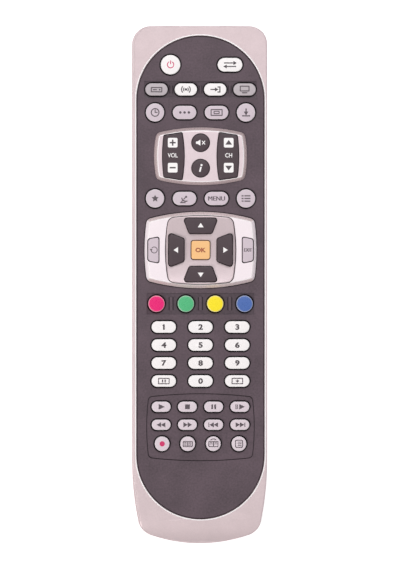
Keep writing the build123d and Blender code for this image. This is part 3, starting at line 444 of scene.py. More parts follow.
# Width and height of the keys with round ends, and the pitch in the rows of four
DIGIT_KEYS = [f"digit_{n}_key" for n in range(10)] + ["hold_key", "format_key"]
SOURCE_KEYS = ["receiver_key", "radio_key", "av_key", "tv_key"]
DISC_KEYS = ["clock_key", "save_key", "favourite_key", "guide_key"]
WIDE_KEYS = ["option_key", "screen_key", "satellite_key", "menu_key"]
COLOUR_KEYS = ["red_key", "green_key", "yellow_key", "blue_key"]
round_keys = {"power_key": (7.8, 7.8), "tv_sat_key": (9.9, 5.5)}
round_keys.update(dict.fromkeys(DIGIT_KEYS, (9.75, 4.65)))
round_keys.update(dict.fromkeys(SOURCE_KEYS, (8.9, 4.9)))
round_keys.update(dict.fromkeys(DISC_KEYS, (7.3, 7.3)))
round_keys.update(dict.fromkeys(WIDE_KEYS, (9.4, 5.35)))
round_keys.update(dict.fromkeys(COLOUR_KEYS, (6.6, 6.6)))
island_keys = dict.fromkeys(["mute_key", "info_key"], (7.0, 7.0))
key_rows = {"play_row_keys": (7.55, 4.15, 10.5), "wind_row_keys": (7.55, 4.15, 10.5),
            "record_row_keys": (5.9, 5.9, 10.25)}

# Corners, rounding and bows of the keys with straight sides, about the middle of their island
ARROW = [(-4.5, 6.6), (4.5, 6.6), (6.9, 12.75), (-6.9, 12.75)]
ARROW_ROUNDING = [0.7, 0.7, 1.9, 1.9]
SIDE = [(16.8, -5.1), (21.0, -4.25), (21.0, 4.25), (16.8, 5.1)]
ROCKER = [(7.5, -9.4), (14.6, -8.32), (14.6, 8.32), (7.5, 9.4)]
OK_HALF = 3.7


def mirrored(corners):
    """The same outline on the left side, again anticlockwise from the lower left."""
    return [(-corners[i][0], corners[i][1]) for i in (1, 0, 3, 2)]


arrow_keys = {node: (turned(ARROW, degrees), ARROW_ROUNDING, (0, 0))
              for node, degrees in (("up_key", 0), ("left_key", 90), ("down_key", 180), ("right_key", 270))}
ok_keys = {"ok_key": ([(x * OK_HALF, y * OK_HALF) for x, y in QUARTERS], [0.95] * 4, (0, 0))}
side_keys = {"back_key": (mirrored(SIDE), [0.95] * 4, (0, 0)), "exit_key": (SIDE, [0.95] * 4, (0, 0))}
rocker_keys = {"volume_rocker": (mirrored(ROCKER), [0.45] * 4, (0.6, 0.9)),
               "channel_rocker": (ROCKER, [0.45] * 4, (0.9, 0.6))}
NAVIGATION = middle("ok_key")
VOLUME = (0.0, middle("channel_rocker")[1])

# Gap between a key and its hole's wall, in the panel, in an island and at the side keys
SLIT, ISLAND_SLIT, SIDE_SLIT = 0.55, 0.28, 0.36
CUT_LOW, CUT_HIGH = 19.0 * MM, 24.0 * MM

# Corners, rounding, bows and bowed ends of the islands and the dish
VOLUME_SHAPE = ([(x * 17.6, y * 9.3) for x, y in QUARTERS], [1.42] * 4, (1.0, 1.0), 2.25)
NAVIGATION_SHAPE = ([(x * 21.5, y * 12.3) for x, y in QUARTERS], [1.53] * 4, (0.9, 0.9), 3.0)
DISH_SHAPE = ([(x * 12.8, y * 12.7) for x, y in QUARTERS], [1.95] * 4, (1.3, 1.3), 1.0)


def row_places(node):
    """The middles of the four keys of a row."""
    x, y = middle(node)
    return [(x + (column - 1.5) * key_rows[node][2] * MM, y) for column in range(4)]


def round_cutters(sizes, slit=SLIT):
    """A cutter for the hole of each key with round ends."""
    return [capsule((w + 2 * slit) * MM, (h + 2 * slit) * MM, CUT_LOW, CUT_HIGH, middle(node))
            for node, (w, h) in sizes.items()]


def block_cutters(shapes, place, slit=SLIT):
    """A cutter for the hole of each key with straight sides."""
    cutters = []
    for corners, rounding, *swell in shapes.values():
        rounding = [r + slit * HOLE_ROUNDING for r in rounding]
        cutter = block(grown(corners, slit), rounding, CUT_LOW, CUT_HIGH, *swell)
        cutters.append(move(cutter, place))
    return cutters


def between(row):
    """The places halfway between neighbouring keys of a row."""
    places = [middle(node) for node in row]
    return [((a[0] + b[0]) / 2, a[1]) for a, b in zip(places, places[1:])]


# Grooves: one round the recorder keys, one round the lower island, and one on each side of the ribs that
# stand between the source keys and between the coloured keys.
PANEL_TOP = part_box("face_panel")[1].z
FIELD_FLOOR = PANEL_TOP - 0.25 * MM
GROOVE_FLOOR = PANEL_TOP - 0.6 * MM
GROOVE_WIDTH, RIB_GROOVE_HALF, GROOVE_ROUNDING = 0.3, 0.22, 0.2
RECORDER_FIELD = ([(x * 20.6, y * 12.0) for x, y in QUARTERS], [1.3] * 4, (0.8, 0.8), 1.25)
RECORDER_PLACE = (0, -57.1 * MM)
grooves = []
for (corners, rounding, *swell), place in ((RECORDER_FIELD, RECORDER_PLACE), (NAVIGATION_SHAPE, NAVIGATION)):
    wider = [r + GROOVE_ROUNDING for r in rounding]
    ring_groove = block(grown(corners, GROOVE_WIDTH), wider, GROOVE_FLOOR, CUT_HIGH, *swell)
    carve(ring_groove, [block(corners, rounding, CUT_LOW, CUT_HIGH + MM, *swell)])
    grooves.append(move(ring_groove, place))
for row, half_rib, length in ((SOURCE_KEYS, 0.35, 3.2), (COLOUR_KEYS, 0.55, 5.2)):
    for place in between(row):
        for hand in (-1, 1):
            groove_x = hand * (half_rib + RIB_GROOVE_HALF)
            slot = [(groove_x + x * RIB_GROOVE_HALF, y * length / 2) for x, y in QUARTERS]
            grooves.append(move(block(slot, [GROOVE_ROUNDING] * 4, GROOVE_FLOOR, CUT_HIGH), place))

dark = moulded("dark_panel", (0.093, 0.062, 0.080), 0.24, 1300, 0.55, 0.012, 0.1)
# Painted shade: the sunken fields' floors are painted darker than the panel, and the walls of the holes near
# black, for the shade in these recesses and gaps.
shaded_field_floor = moulded("shaded_field_floor", (0.070, 0.046, 0.061), 0.24, 1300, 0.5, 0.012, 0.1)
shaded_hole_wall = moulded("shaded_hole_wall", (0.022, 0.012, 0.022), 0.1, 1900, 0.7, 0.003)
panel = dressed_copy("face_panel", "panel", dark)
row_cutters = [capsule((w + 2 * SLIT) * MM, (h + 2 * SLIT) * MM, CUT_LOW, CUT_HIGH, place)
               for node, (w, h, _) in key_rows.items() for place in row_places(node)]
carve(panel, grooves)
carve(panel, round_cutters(round_keys) + round_cutters(island_keys) + row_cutters
      + block_cutters(rocker_keys, VOLUME) + block_cutters(arrow_keys | ok_keys | side_keys, NAVIGATION))
# Painted shade: the groove floors and the panel's sloped edges get this darker colour, for the shade in the
# grooves and at the edges.
shaded_groove_floor = moulded("shaded_groove_floor", (0.046, 0.029, 0.040), 0.2, 1300, 0.6, 0.008)
paint(panel, dark, shaded_hole_wall, shaded_field_floor, shaded_groove_floor)
FIELDS_END = middle("red_key")[1] - 5 * MM
UPWARD, UPRIGHT = 0.9, 0.1  # the upward part of a normal, on a nearly level face and on a wall
STEP = 0.1 * MM  # less than from a field's floor to the panel's top or to a groove's floor
# The panel's faces by place: painted shade on the sloped edges and groove floors, near-black painted shade on
# the walls, and a darker painted shade on the sunken fields' floors.
for face in panel.data.polygons:
    height, tilt = face.center.z - FIELD_FLOOR, face.normal.z
    on_edge = 0.3 < tilt < UPWARD and height > -STEP
    on_groove_floor = tilt > UPWARD and height < -STEP
    if on_edge or on_groove_floor:
        face.material_index = 3
    elif abs(tilt) < UPRIGHT:
        face.material_index = 1
    elif height < STEP and face.center.y > FIELDS_END:
        face.material_index = 2
soften(panel, 30)
even_out(panel)
stand_in(panel, "casing", "face_panel")

# The opening bead: the fine edge of the upper shell's opening, all round the panel. It is moulded with
# the shell, and its near-white colour is a painted highlight along the edge.
BEAD, BEAD_DEPTH, BEAD_RISE, BEAD_RIM, BEAD_SIDES = 0.5 * MM, 0.3 * MM, 0.12 * MM, 0.2 * MM, 192
OPENING_GAP = 0.28 * MM


def is_rim(edge, at, height, turn=1.0):
    """Whether the edge is at this height and its faces turn by more than this many radians."""
    return abs(at.z - height) < FLAT and edge.calc_face_angle(0) > turn


panel_low, panel_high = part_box("face_panel")
opening = [panel_high.y - panel_low.y + 2 * OPENING_GAP, panel_high.x - panel_low.x + 2 * OPENING_GAP]
around = [length + 2 * BEAD for length in opening]
face_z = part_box("upper_case")[1].z
bead = capsule(*around, face_z - BEAD_DEPTH, face_z + BEAD_RISE, sides=BEAD_SIDES)
carve(bead, [capsule(*opening, face_z - MM, face_z + MM, sides=BEAD_SIDES)])
only(bead)
with editing():
    bevel(BEAD_RIM, 3, lambda edge, at: is_rim(edge, at, face_z + BEAD_RISE))
bead.name = "opening_bead"
bead.data.transform(Matrix.Rotation(math.pi / 2, 4, "Z"))
move(bead, middle("face_panel"))
# The bead's near-white colour is a painted highlight, not the silver's own.
bead.data.materials.append(moulded("painted_bead_highlight", (0.98, 0.94, 0.96), 0.03, 2600, 0.34, 0.003))
soften(bead, 50)
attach(bead, "casing")

# The islands: two raised pearl trims with bowed outlines, sloping skirts and soft rims, and a hollow
# square dish let into the lower one. They are moulded apart, plated thinly, and pegged into the panel.
# Their skirts are painted darker as shade, their rims paler as a painted highlight, and their walls
# near dark as painted shade.
ISLAND_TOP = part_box("volume_channel_bezel")[1].z
ISLAND_SKIRT, ISLAND_RIM = 1.4 * MM, 0.3 * MM
WALL_TILT, SKIRT_TILT, RIM_TILT = 0.1, 0.74, 0.975  # the most that a normal of each points up
DISH_TOP = PANEL_TOP + 1.9 * MM
DISH_RIM = 0.42 * MM
DISH_GAP = 0.22
HOLLOW_R, HOLLOW_HALF, HOLLOW_LINES = 80 * MM, 13.7 * MM, 9
HOLLOW_FROM = PANEL_TOP + MM


def island(name, shape, place):
    """A bowed block with a sloping skirt and a rounded rim, on the panel."""
    corners, rounding, bows, ends = shape
    piece = block(corners, rounding, PANEL_TOP, ISLAND_TOP, bows, ends)
    piece.name = name
    with editing():
        bevel(ISLAND_SKIRT, 1, lambda edge, at: is_rim(edge, at, ISLAND_TOP))
        bevel(ISLAND_RIM, 4, lambda edge, at: is_rim(edge, at, ISLAND_TOP, 0.5))
    return move(piece, place)


def plate(piece, node, top, shaded_slope, rim, lit_sides=False):
    """Give the top its finish, the slopes a darker painted shade, the rims a paler painted highlight and the
    walls a dark painted shade, and seat the piece. With lit sides, the slopes to the left and right are
    painted the colour of the top, as if lit."""
    paint(piece, top, shaded_island_wall, shaded_slope, rim)
    for face in piece.data.polygons:
        kind = sum(face.normal.z >= tilt for tilt in (WALL_TILT, SKIRT_TILT, RIM_TILT))
        face.material_index = (1, 2, 3, 0)[kind]
        if lit_sides and kind == 1 and abs(face.normal.x) > abs(face.normal.y):
            face.material_index = 0
    soften(piece, 50)
    even_out(piece)
    stand_in(piece, "casing", node)


trim = moulded("pearl_trim", (0.82, 0.69, 0.735), 0.04, 2600, 0.34, 0.005, Metallic=0.2)
# Painted light on the islands: a paler rim colour as highlight, a darker skirt colour as shade on the slopes,
# and a dark wall colour as shade in the gaps.
highlight_rim = moulded("trim_rim_highlight", (0.97, 0.92, 0.94), 0.03, 2600, 0.28, 0.003)
shaded_skirt = moulded("shaded_trim_skirt", (0.66, 0.53, 0.54), 0.04, 2600, 0.30, 0.005, Metallic=0.3)
shaded_island_wall = moulded("shaded_island_wall", (0.16, 0.105, 0.125), 0.1, 1900, 0.6, 0.003)
volume_island = island("volume_island", VOLUME_SHAPE, VOLUME)
carve(volume_island, round_cutters(island_keys, ISLAND_SLIT)
      + block_cutters(rocker_keys, VOLUME, ISLAND_SLIT))
plate(volume_island, "volume_channel_bezel", trim, shaded_skirt, highlight_rim)
pale_trim = moulded("pale_trim", (0.93, 0.84, 0.89), 0.03, 2600, 0.34, 0.005)
navigation_island = island("navigation_island", NAVIGATION_SHAPE, NAVIGATION)
carve(navigation_island, block_cutters(side_keys, NAVIGATION, SIDE_SLIT)
      + block_cutters({"navigation_dish": DISH_SHAPE}, NAVIGATION, DISH_GAP))
# A paler painted shade for the lower island's slopes; its left and right slopes are painted the top's colour,
# as if lit.
shaded_pale_skirt = moulded("shaded_pale_skirt", (0.82, 0.68, 0.69), 0.04, 2600, 0.30, 0.005, Metallic=0.2)
plate(navigation_island, "navigation_bezel", pale_trim, shaded_pale_skirt, highlight_rim, lit_sides=True)

# The dish: a square insert with bowed sides and a hollow top, moulded apart and seated in the island's
# window. Its top is cut into strips across the remote, and each line of points is lowered by the hollow.
corners, rounding, *swell = DISH_SHAPE
dish = block(corners, rounding, PANEL_TOP, DISH_TOP, *swell)
dish.name = "dish"
with editing():
    bevel(DISH_RIM, 4, lambda edge, at: is_rim(edge, at, DISH_TOP))
    for line in range(-HOLLOW_LINES, HOLLOW_LINES + 1):
        bpy.ops.mesh.select_all(action="SELECT")
        bpy.ops.mesh.bisect(plane_co=(0, HOLLOW_HALF * line / HOLLOW_LINES, 0), plane_no=(0, 1, 0))
    points = [vert.co for vert in bmesh.from_edit_mesh(dish.data).verts]
    for y in sorted({round(point.y, 6) for point in points if point.z > HOLLOW_FROM}):
        drop = math.sqrt(HOLLOW_R**2 - y**2) - math.sqrt(HOLLOW_R**2 - HOLLOW_HALF**2)
        shift(lambda vert, at: at.z > HOLLOW_FROM and round(at.y, 6) == y, 0, 0, -drop)
move(dish, NAVIGATION)
carve(dish, block_cutters(arrow_keys | ok_keys, NAVIGATION, ISLAND_SLIT))
dish_trim = moulded("dish_trim", (0.69, 0.575, 0.605), 0.04, 2600, 0.34, 0.005, Metallic=0.3)
# The dish's slopes take the skirts' painted shade, and its rim the paler trim colour as a painted highlight.
plate(dish, "navigation_dish", dish_trim, shaded_skirt, trim)

# The keys: each is a plastic cap on a dark foot, whose flange holds it behind the face and whose post
# presses the board. Each cap has a soft rim and a slight crown. These keys move straight down.
CAP_RIM, CAP_PROFILE, RIM_TURN = 0.32 * MM, 0.55, 0.93
CAP_CROWN, CROWN_STEP, CROWN_STEPS = 0.1 * MM, 0.5 * MM, 3
CAP_SINK = 0.2 * MM  # how deep a cap runs into its flange
JUST_OVER = 0.01 * MM
FLANGE_LIP = 0.8 * MM
FLANGE_TOP = 19.05 * MM
FLANGE_LOW = FLANGE_TOP - 0.9 * MM
POST_LOW, POST_SHARE = 16.25 * MM, 0.5
FOOT_ROUNDING = 0.3 * MM
FACE_KEY_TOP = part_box("digit_5_key")[1].z


def crown_top(level, rise=CAP_CROWN, rim=CAP_RIM):
    """In edit mode, round the edge of the flat top and raise its face towards the middle."""
    bevel(rim, 4, lambda edge, at: is_rim(edge, at, level), profile=CAP_PROFILE)
    if not rise:
        return
    pick("FACE", lambda face, at: abs(at.z - level) < FLAT and face.normal.z > UPWARD)
    for turn in range(CROWN_STEPS, 0, -1):
        share = turn / sum(range(1, CROWN_STEPS + 1))
        bpy.ops.mesh.inset(thickness=CROWN_STEP, depth=rise * share)


def foot(width, height):
    """The flange and the post under a cap: a block drawn out of the post's top, with its edges rounded."""
    piece = added(bpy.ops.mesh.primitive_cube_add, size=1, location=(0, 0, (POST_LOW + FLANGE_LOW) / 2))
    piece.scale = (width * POST_SHARE, height * POST_SHARE, FLANGE_LOW - POST_LOW)
    settle(piece)
    with editing():
        pick("FACE", lambda face, at: face.normal.z > UPWARD)
        bpy.ops.mesh.extrude_region_move()
        spread = [(length + 2 * FLANGE_LIP) / (length * POST_SHARE) for length in (width, height)]
        bpy.ops.transform.resize(value=(*spread, 1))
        bpy.ops.mesh.extrude_region_move(TRANSFORM_OT_translate={"value": (0, 0, FLANGE_TOP - FLANGE_LOW)})
        bevel(FOOT_ROUNDING, 3, lambda edge, at: not is_level(edge))
    return piece


def pill_key(name, size, top=FACE_KEY_TOP, rim=CAP_RIM):
    """A key with round ends at the origin: cap, flange and post; its size is in millimetres."""
    width, height = (length * MM for length in size[:2])
    piece = capsule(width, height, FLANGE_TOP - CAP_SINK, top - CAP_CROWN)
    with editing():
        crown_top(top - CAP_CROWN, rim=rim)
    return join([piece, foot(width, height)], name)


def fit_key(pattern, node, cap, at=None, rim=None):
    """A copy of the pattern in the place of a CAD key: the cap in its colours, the foot in dark rubber,
    and the rim, where a rim colour is given, painted paler as a highlight.
    """
    piece = bpy.data.objects.new(node + "_cap", pattern.data.copy())
    scene.collection.objects.link(piece)
    move(piece, at or middle(node))
    paint(piece, cap, foot_rubber, rim or cap)
    for face in piece.data.polygons:
        on_foot = face.center.z < FLANGE_TOP + JUST_OVER
        on_rim = UPRIGHT < face.normal.z < RIM_TURN
        face.material_index = 1 if on_foot else 2 if on_rim else 0
    soften(piece)
    return piece


def single_keys(pattern, finishes):
    """Put a copy of the pattern in the place of each node, with its cap's colour and rim; the slot is not
    used.
    """
    for node, (cap, slot, *rim) in finishes.items():
        stand_in(fit_key(pattern, node, cap, rim=rim[0] if rim else None), node, node)
    bpy.data.objects.remove(pattern)


# Printed marks: pictograms, numbers and a few plain words in matt ink, a few hundredths of a millimetre
# thick. Each is drawn from flat shapes round the key's middle, then given its thickness.
INK = 0.02 * MM
INK_DEPTH = 0.12 * MM
INK_STEP = 0.003 * MM  # between the tops of shapes that overlap
CAPITAL = 0.73  # a capital's height, for a font size of 1
BOLD_STEP = 0.08


def flat(piece, at, turn=0.0):
    """Turn a flat shape and put it at its place on the key, in millimetres."""
    piece.rotation_euler = (0, 0, math.radians(turn))
    piece.location = (at[0] * MM, at[1] * MM, 0)
    return settle(piece)


def bar(width, height, at=(0, 0), turn=0.0, corner=0.0):
    """A straight stroke or a plate, its corners rounded if a radius is given."""
    piece = added(bpy.ops.mesh.primitive_plane_add, size=MM)
    piece.scale = (width, height, 1)
    settle(piece)
    if corner:
        with editing():
            bpy.ops.mesh.select_all(action="SELECT")
            bpy.ops.mesh.bevel(offset=corner * MM, segments=5, affect="VERTICES")
    return flat(piece, at, turn)


def triangle(size, at=(0, 0), turn=0.0, width=1.0):
    """A triangle that points to +Y before its turn; size is its height."""
    piece = added(bpy.ops.mesh.primitive_circle_add, vertices=3, radius=size * MM / 1.5, fill_type="NGON")
    piece.scale = (width, 1, 1)
    settle(piece)
    return flat(piece, at, turn)


def ring(radius, line, at=(0, 0), keep=None, sides=48):
    """A ring, or the part of it whose angle in degrees, from -180 to 180 and 0 along +X, passes keep."""
    piece = added(bpy.ops.mesh.primitive_circle_add, vertices=sides, radius=radius * MM, fill_type="NGON")
    with editing():
        bpy.ops.mesh.select_all(action="SELECT")
        bpy.ops.mesh.inset(thickness=line * MM, depth=0)
        pick("FACE", lambda face, spot: len(face.verts) > 4 or (
            keep is not None and not keep(math.degrees(math.atan2(spot.y, spot.x)))))
        bpy.ops.mesh.delete(type="FACE")
    return flat(piece, at)


def dot(radius, at=(0, 0)):
    """A round spot."""
    spot = added(bpy.ops.mesh.primitive_circle_add, vertices=32, radius=radius * MM, fill_type="NGON")
    return flat(spot, at)


def frame_mark(width, height, line, at=(0, 0), corner=0.25):
    """A rectangle drawn as an outline."""
    piece = bar(width, height, corner=corner)
    with editing():
        bpy.ops.mesh.select_all(action="SELECT")
        bpy.ops.mesh.inset(thickness=line * MM, depth=0)
        bpy.ops.mesh.delete(type="FACE")
    return flat(piece, at)


def letters(text, height, at=(0, 0), weight=0.03, width=1.0):
    """Plain lettering, its middle at the place; height is that of a capital."""
    piece = added(bpy.ops.object.text_add)
    piece.data.body = text
    piece.data.size = height * MM / CAPITAL
    piece.data.offset = weight * height * MM
    piece.scale = (width, 1, 1)
    piece.data.resolution_u = 6
    bpy.ops.object.convert(target="MESH")
    piece = settle(bpy.context.object)
    spots = [v.co for v in piece.data.vertices]
    middle_x = (min(s.x for s in spots) + max(s.x for s in spots)) / 2
    middle_y = (min(s.y for s in spots) + max(s.y for s in spots)) / 2
    move(piece, (-middle_x, -middle_y))
    return flat(piece, at)


def bold(text, height, at, width):
    """Lettering struck three times, side by side, which thickens it without closing its corners."""
    return [letters(text, height, (at[0] + BOLD_STEP * side, at[1]), 0, width) for side in (-1, 0, 1)]


def print_mark(node, marks, ink, at=None, name=None, lift=INK):
    """Join the flat shapes, give them thickness and print them on top of the key. The ink is a finish and
    its slot."""
    for step, mark in enumerate(marks):
        move(mark, (0, 0), INK_STEP * step)
    piece = join(marks, name or node + "_mark")
    move(piece, at or middle(node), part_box(node)[1].z + lift)
    modify(piece, "SOLIDIFY", thickness=INK_DEPTH, offset=-1)
    paint(piece, ink[0])
    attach(piece, node)


def matt_ink(name, colour, slot, variation=0.05, roughness=0.6):
    """A matt printing ink, with the slot of what is printed in it."""
    return moulded(name, colour, variation, 4000, roughness, 0.002), slot


dark_ink = matt_ink("dark_ink", (0.085, 0.070, 0.080), "key_dark")
grey_ink = matt_ink("grey_ink", (0.10, 0.078, 0.094), "key_dark")

# The number keys: twelve pills in four rows, moulded in white plastic and printed in dark ink. The outer keys
# of the last row carry a sign instead of a number. The foot is dark rubber, as under every key.
WHITE = (moulded("white_cap", (0.93, 0.90, 0.91), 0.02, 2600, 0.38, 0.003), "key_white")
foot_rubber = moulded("foot_rubber", (0.035, 0.026, 0.032), 0.1, 2600, 0.6, 0.004)
single_keys(pill_key("number_pill", round_keys["digit_5_key"]), dict.fromkeys(DIGIT_KEYS, WHITE))
for number in range(10):
    flag = [bar(0.75, 0.3, (-0.27, 0.8), 38)] if number == 1 else []
    digit = letters(str(number), 2.1, weight=0.055, width=1.25)
    print_mark(f"digit_{number}_key", [digit] + flag, dark_ink)
print_mark("hold_key", [frame_mark(4.6, 2.5, 0.36)] + [bar(0.5, 1.2, (x, 0)) for x in (-0.5, 0.5)], grey_ink)
print_mark("format_key", [frame_mark(4.6, 2.5, 0.36), bar(1.3, 0.42), bar(0.42, 1.3)], grey_ink)

# The power key and the key beside it, at the nose: a disc with a red mark and a pill with two arrows. Both
# are moulded in white plastic, and their marks are printed.
red_ink = matt_ink("red_ink", (0.62, 0.03, 0.14), "key_red", 0.04, 0.55)
single_keys(pill_key("power_disc", round_keys["power_key"]), {"power_key": WHITE})
open_ring = ring(1.45, 0.36, keep=lambda a: abs(a - 90) > 32)
print_mark("power_key", [open_ring, bar(0.36, 1.5, (0, 0.95))], red_ink)
single_keys(pill_key("nose_pill", round_keys["tv_sat_key"]), {"tv_sat_key": WHITE})
print_mark("tv_sat_key", [
    bar(3.8, 0.44, (-0.5, 0.7)), triangle(1.4, (1.8, 0.7), -90),
    bar(3.8, 0.44, (0.5, -0.7)), triangle(1.4, (-1.8, -0.7), 90),
], dark_ink)

# The source keys: a row of four pills, a grey one at each end and two white ones between them. They are
# moulded in plastic and printed with pictograms.
GREY = (moulded("grey_cap", (0.50, 0.45, 0.48), 0.03, 2600, 0.38, 0.003), "key_grey")
single_keys(
    pill_key("source_pill", round_keys["tv_key"]),
    {"receiver_key": GREY, "radio_key": WHITE, "av_key": WHITE, "tv_key": GREY},
)
print_mark("receiver_key", [
    frame_mark(4.6, 2.1, 0.4, (0, -0.1)), bar(1.6, 0.4, (-0.7, -0.1)), dot(0.32, (1.25, -0.1)),
], grey_ink)
waves = [ring(radius, 0.4, keep=lambda a: abs(a) < 42 or abs(a) > 138) for radius in (1.15, 1.95)]
print_mark("radio_key", [dot(0.48)] + waves, dark_ink)
print_mark("av_key", [
    bar(1.9, 0.44, (-1.0, 0)), triangle(1.4, (0.35, 0), -90),
    bar(0.44, 2.4, (1.85, 0)), bar(1.0, 0.44, (1.4, 1.0)), bar(1.0, 0.44, (1.4, -1.0)),
], dark_ink)
print_mark("tv_key", [frame_mark(3.9, 2.3, 0.4, (0, 0.35)), bar(2.1, 0.42, (0, -1.3))], grey_ink)

# Two rows of a disc, two pills and a disc, one row above the volume island and one below it. They are
# moulded in lilac grey plastic and printed in grey; their rims are painted paler, as a painted highlight.
lilac_cap = moulded("lilac_cap", (0.64, 0.55, 0.615), 0.03, 2600, 0.38, 0.003)
lilac_rim_highlight = moulded("lilac_rim_highlight", (0.80, 0.73, 0.78), 0.03, 2600, 0.36, 0.003)
LILAC = (lilac_cap, "key_white", lilac_rim_highlight)
single_keys(pill_key("row_disc", round_keys["clock_key"]), dict.fromkeys(DISC_KEYS, LILAC))
single_keys(pill_key("row_pill", round_keys["menu_key"]), dict.fromkeys(WIDE_KEYS, LILAC))
print_mark("clock_key", [ring(1.75, 0.42), bar(0.38, 1.35, (0, 0.55)), bar(1.15, 0.38, (0.4, 0))], grey_ink)
print_mark("save_key", [
    bar(0.5, 1.5, (0, 0.85)), triangle(1.6, (0, -0.15), 180), bar(3.2, 0.46, (0, -1.35)),
], grey_ink)
print_mark("option_key", [dot(0.5, (x, 0)) for x in (-1.7, 0, 1.7)], grey_ink)
print_mark("screen_key", [frame_mark(4.8, 2.7, 0.4), frame_mark(2.4, 1.3, 0.36)], grey_ink)
print_mark("favourite_key", [triangle(2.3, turn=72 * point, width=0.62) for point in range(5)], grey_ink)
print_mark("satellite_key", [
    ring(1.9, 0.45, (0.5, 0.55), keep=lambda a: -175 < a < -65), bar(0.4, 1.4, (0.1, 0.15), -45),
    dot(0.42, (0.6, 0.65)), bar(0.4, 1.0, (-1.1, -1.2), -35), bar(2.2, 0.42, (-0.7, -1.65)),
], grey_ink)
print_mark("menu_key", bold("MENU", 1.8, (0, 0), 1.02), grey_ink)
list_marks = [bar(width, 0.46, (x, y)) for width, x in ((0.8, -1.4), (2.4, 0.55)) for y in (1.05, 0, -1.05)]
print_mark("guide_key", list_marks, grey_ink)

# The coloured keys: four discs in a row below the lower island, each moulded in its own bright plastic. They
# have no print, and a wider rim painted paler, as a painted highlight.
colours = {
    "red_key": ((0.84, 0.015, 0.19), "key_red"), "green_key": ((0.09, 0.50, 0.22), "key_green"),
    "yellow_key": ((0.98, 0.80, 0.02), "key_yellow"), "blue_key": ((0.075, 0.155, 0.45), "key_blue"),
}
single_keys(
    pill_key("colour_disc", round_keys["red_key"], rim=0.5 * MM),
    {node: (
        moulded(node[:-4] + "_cap", colour, 0.03, 2600, 0.3, 0.002), slot,
        # Each rim colour is the cap's colour made paler, a painted highlight.
        moulded(node[:-4] + "_rim", [0.62 * c + 0.32 for c in colour], 0.03, 2600, 0.3, 0.002),
    ) for node, (colour, slot) in colours.items()},
)

# The recorder keys: two rows of small pills and a row of small discs, moulded in pale lilac plastic and
# printed. On the real remote each key is a piece of its own, and here each row is one body.
def key_row(node, cap, rim):
    """Four like keys in the place of a CAD row of keys, joined into one piece."""
    pattern = pill_key(node + "_pattern", key_rows[node])
    caps = [fit_key(pattern, node, cap, place, rim) for place in row_places(node)]
    stand_in(join(caps, node + "_caps"), node, node)
    bpy.data.objects.remove(pattern)


play_marks = {
    "play": lambda: [triangle(2.5, (-0.2, 0), -90, 0.78)],
    "stop": lambda: [bar(1.9, 1.9)],
    "pause": lambda: [bar(0.7, 1.85, (-0.6, 0)), bar(0.7, 1.85, (0.6, 0))],
    "slow": lambda: [bar(0.34, 1.9, (-1.6, 0)), bar(0.34, 1.9, (-1.0, 0)), triangle(2.3, (0.5, 0), -90, 0.8)],
}


def chevrons(turn, *places):
    """Small triangles in a line."""
    return [triangle(1.75, (x, 0), turn) for x in places]


wind_marks = {
    "rewind": lambda: chevrons(90, -0.65, 1.05),
    "forward": lambda: chevrons(-90, -1.05, 0.65),
    "previous": lambda: [bar(0.34, 1.75, (-1.95, 0))] + chevrons(90, -0.55, 1.15),
    "next": lambda: [bar(0.34, 1.75, (1.95, 0))] + chevrons(-90, -1.15, 0.55),
}


def book(lines):
    """Two pages side by side, with that many lines on each."""
    halves = (-0.95, 0.95)
    pages = [frame_mark(2.1, 2.4, 0.32, (x, -0.1), 0.4) for x in halves]
    return pages + [bar(1.0, 0.26, (x, 0.45 - 0.52 * line)) for x in halves for line in range(lines)]


record_marks = {
    "pages": lambda: book(3),
    "index": lambda: book(2) + [ring(2.0, 0.3, (0, 0.1), keep=lambda a: 50 < a < 130)],
    "page": lambda: [frame_mark(3.2, 3.2, 0.34, corner=0.7)] + [
        bar(1.5, 0.28, (0.25, y)) for y in (0.65, 0, -0.65)],
}
pale_lilac_cap = moulded("pale_lilac_cap", (0.72, 0.63, 0.69), 0.03, 2600, 0.38, 0.003)
for node in key_rows:
    # The recorder keys' rims take the paler lilac rim colour, a painted highlight.
    key_row(node, pale_lilac_cap, lilac_rim_highlight)
for node, marks in (("play_row_keys", play_marks), ("wind_row_keys", wind_marks)):
    for place, (name, draw) in zip(row_places(node), marks.items()):
        print_mark(node, draw(), grey_ink, at=place, name=name + "_mark")
places = row_places("record_row_keys")
print_mark("record_row_keys", [dot(1.05)], red_ink, at=places[0], name="record_mark")
for place, (name, draw) in zip(places[1:], record_marks.items()):
    print_mark("record_row_keys", draw(), grey_ink, at=place, name=name + "_mark")

# The two round keys on the volume island, between the rockers: mute above and information below. They are
# discs of dark plastic, printed in white.
dark_cap = moulded("dark_cap", (0.066, 0.043, 0.053), 0.06, 2600, 0.42, 0.004)
white_ink = matt_ink("white_ink", (0.95, 0.93, 0.94), "key_white", 0.02, 0.55)
single_keys(
    pill_key("island_disc", island_keys["mute_key"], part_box("mute_key")[1].z),
    dict.fromkeys(island_keys, (dark_cap, "key_dark")),
)
print_mark("mute_key", [
    bar(0.8, 1.0, (-1.45, 0)), triangle(1.9, (-0.75, 0), 90, 1.1),
    bar(0.32, 1.9, (1.15, 0), 40), bar(0.32, 1.9, (1.15, 0), -40),
], white_ink)
print_mark("info_key", [bar(0.62, 2.0, (-0.12, -0.45), -14), dot(0.43, (0.32, 1.25))], white_ink)


# The keys with straight sides: arrows, select key, side keys and rockers. Each is a block whose upright
# corners are drawn to their places and rounded, over a flange of the same shape and a post.
BLOCK_LIP, BLOCK_FLANGE_H = 0.75, 0.8 * MM
POST_SINK, POST_ROUNDING = 0.1 * MM, 0.2


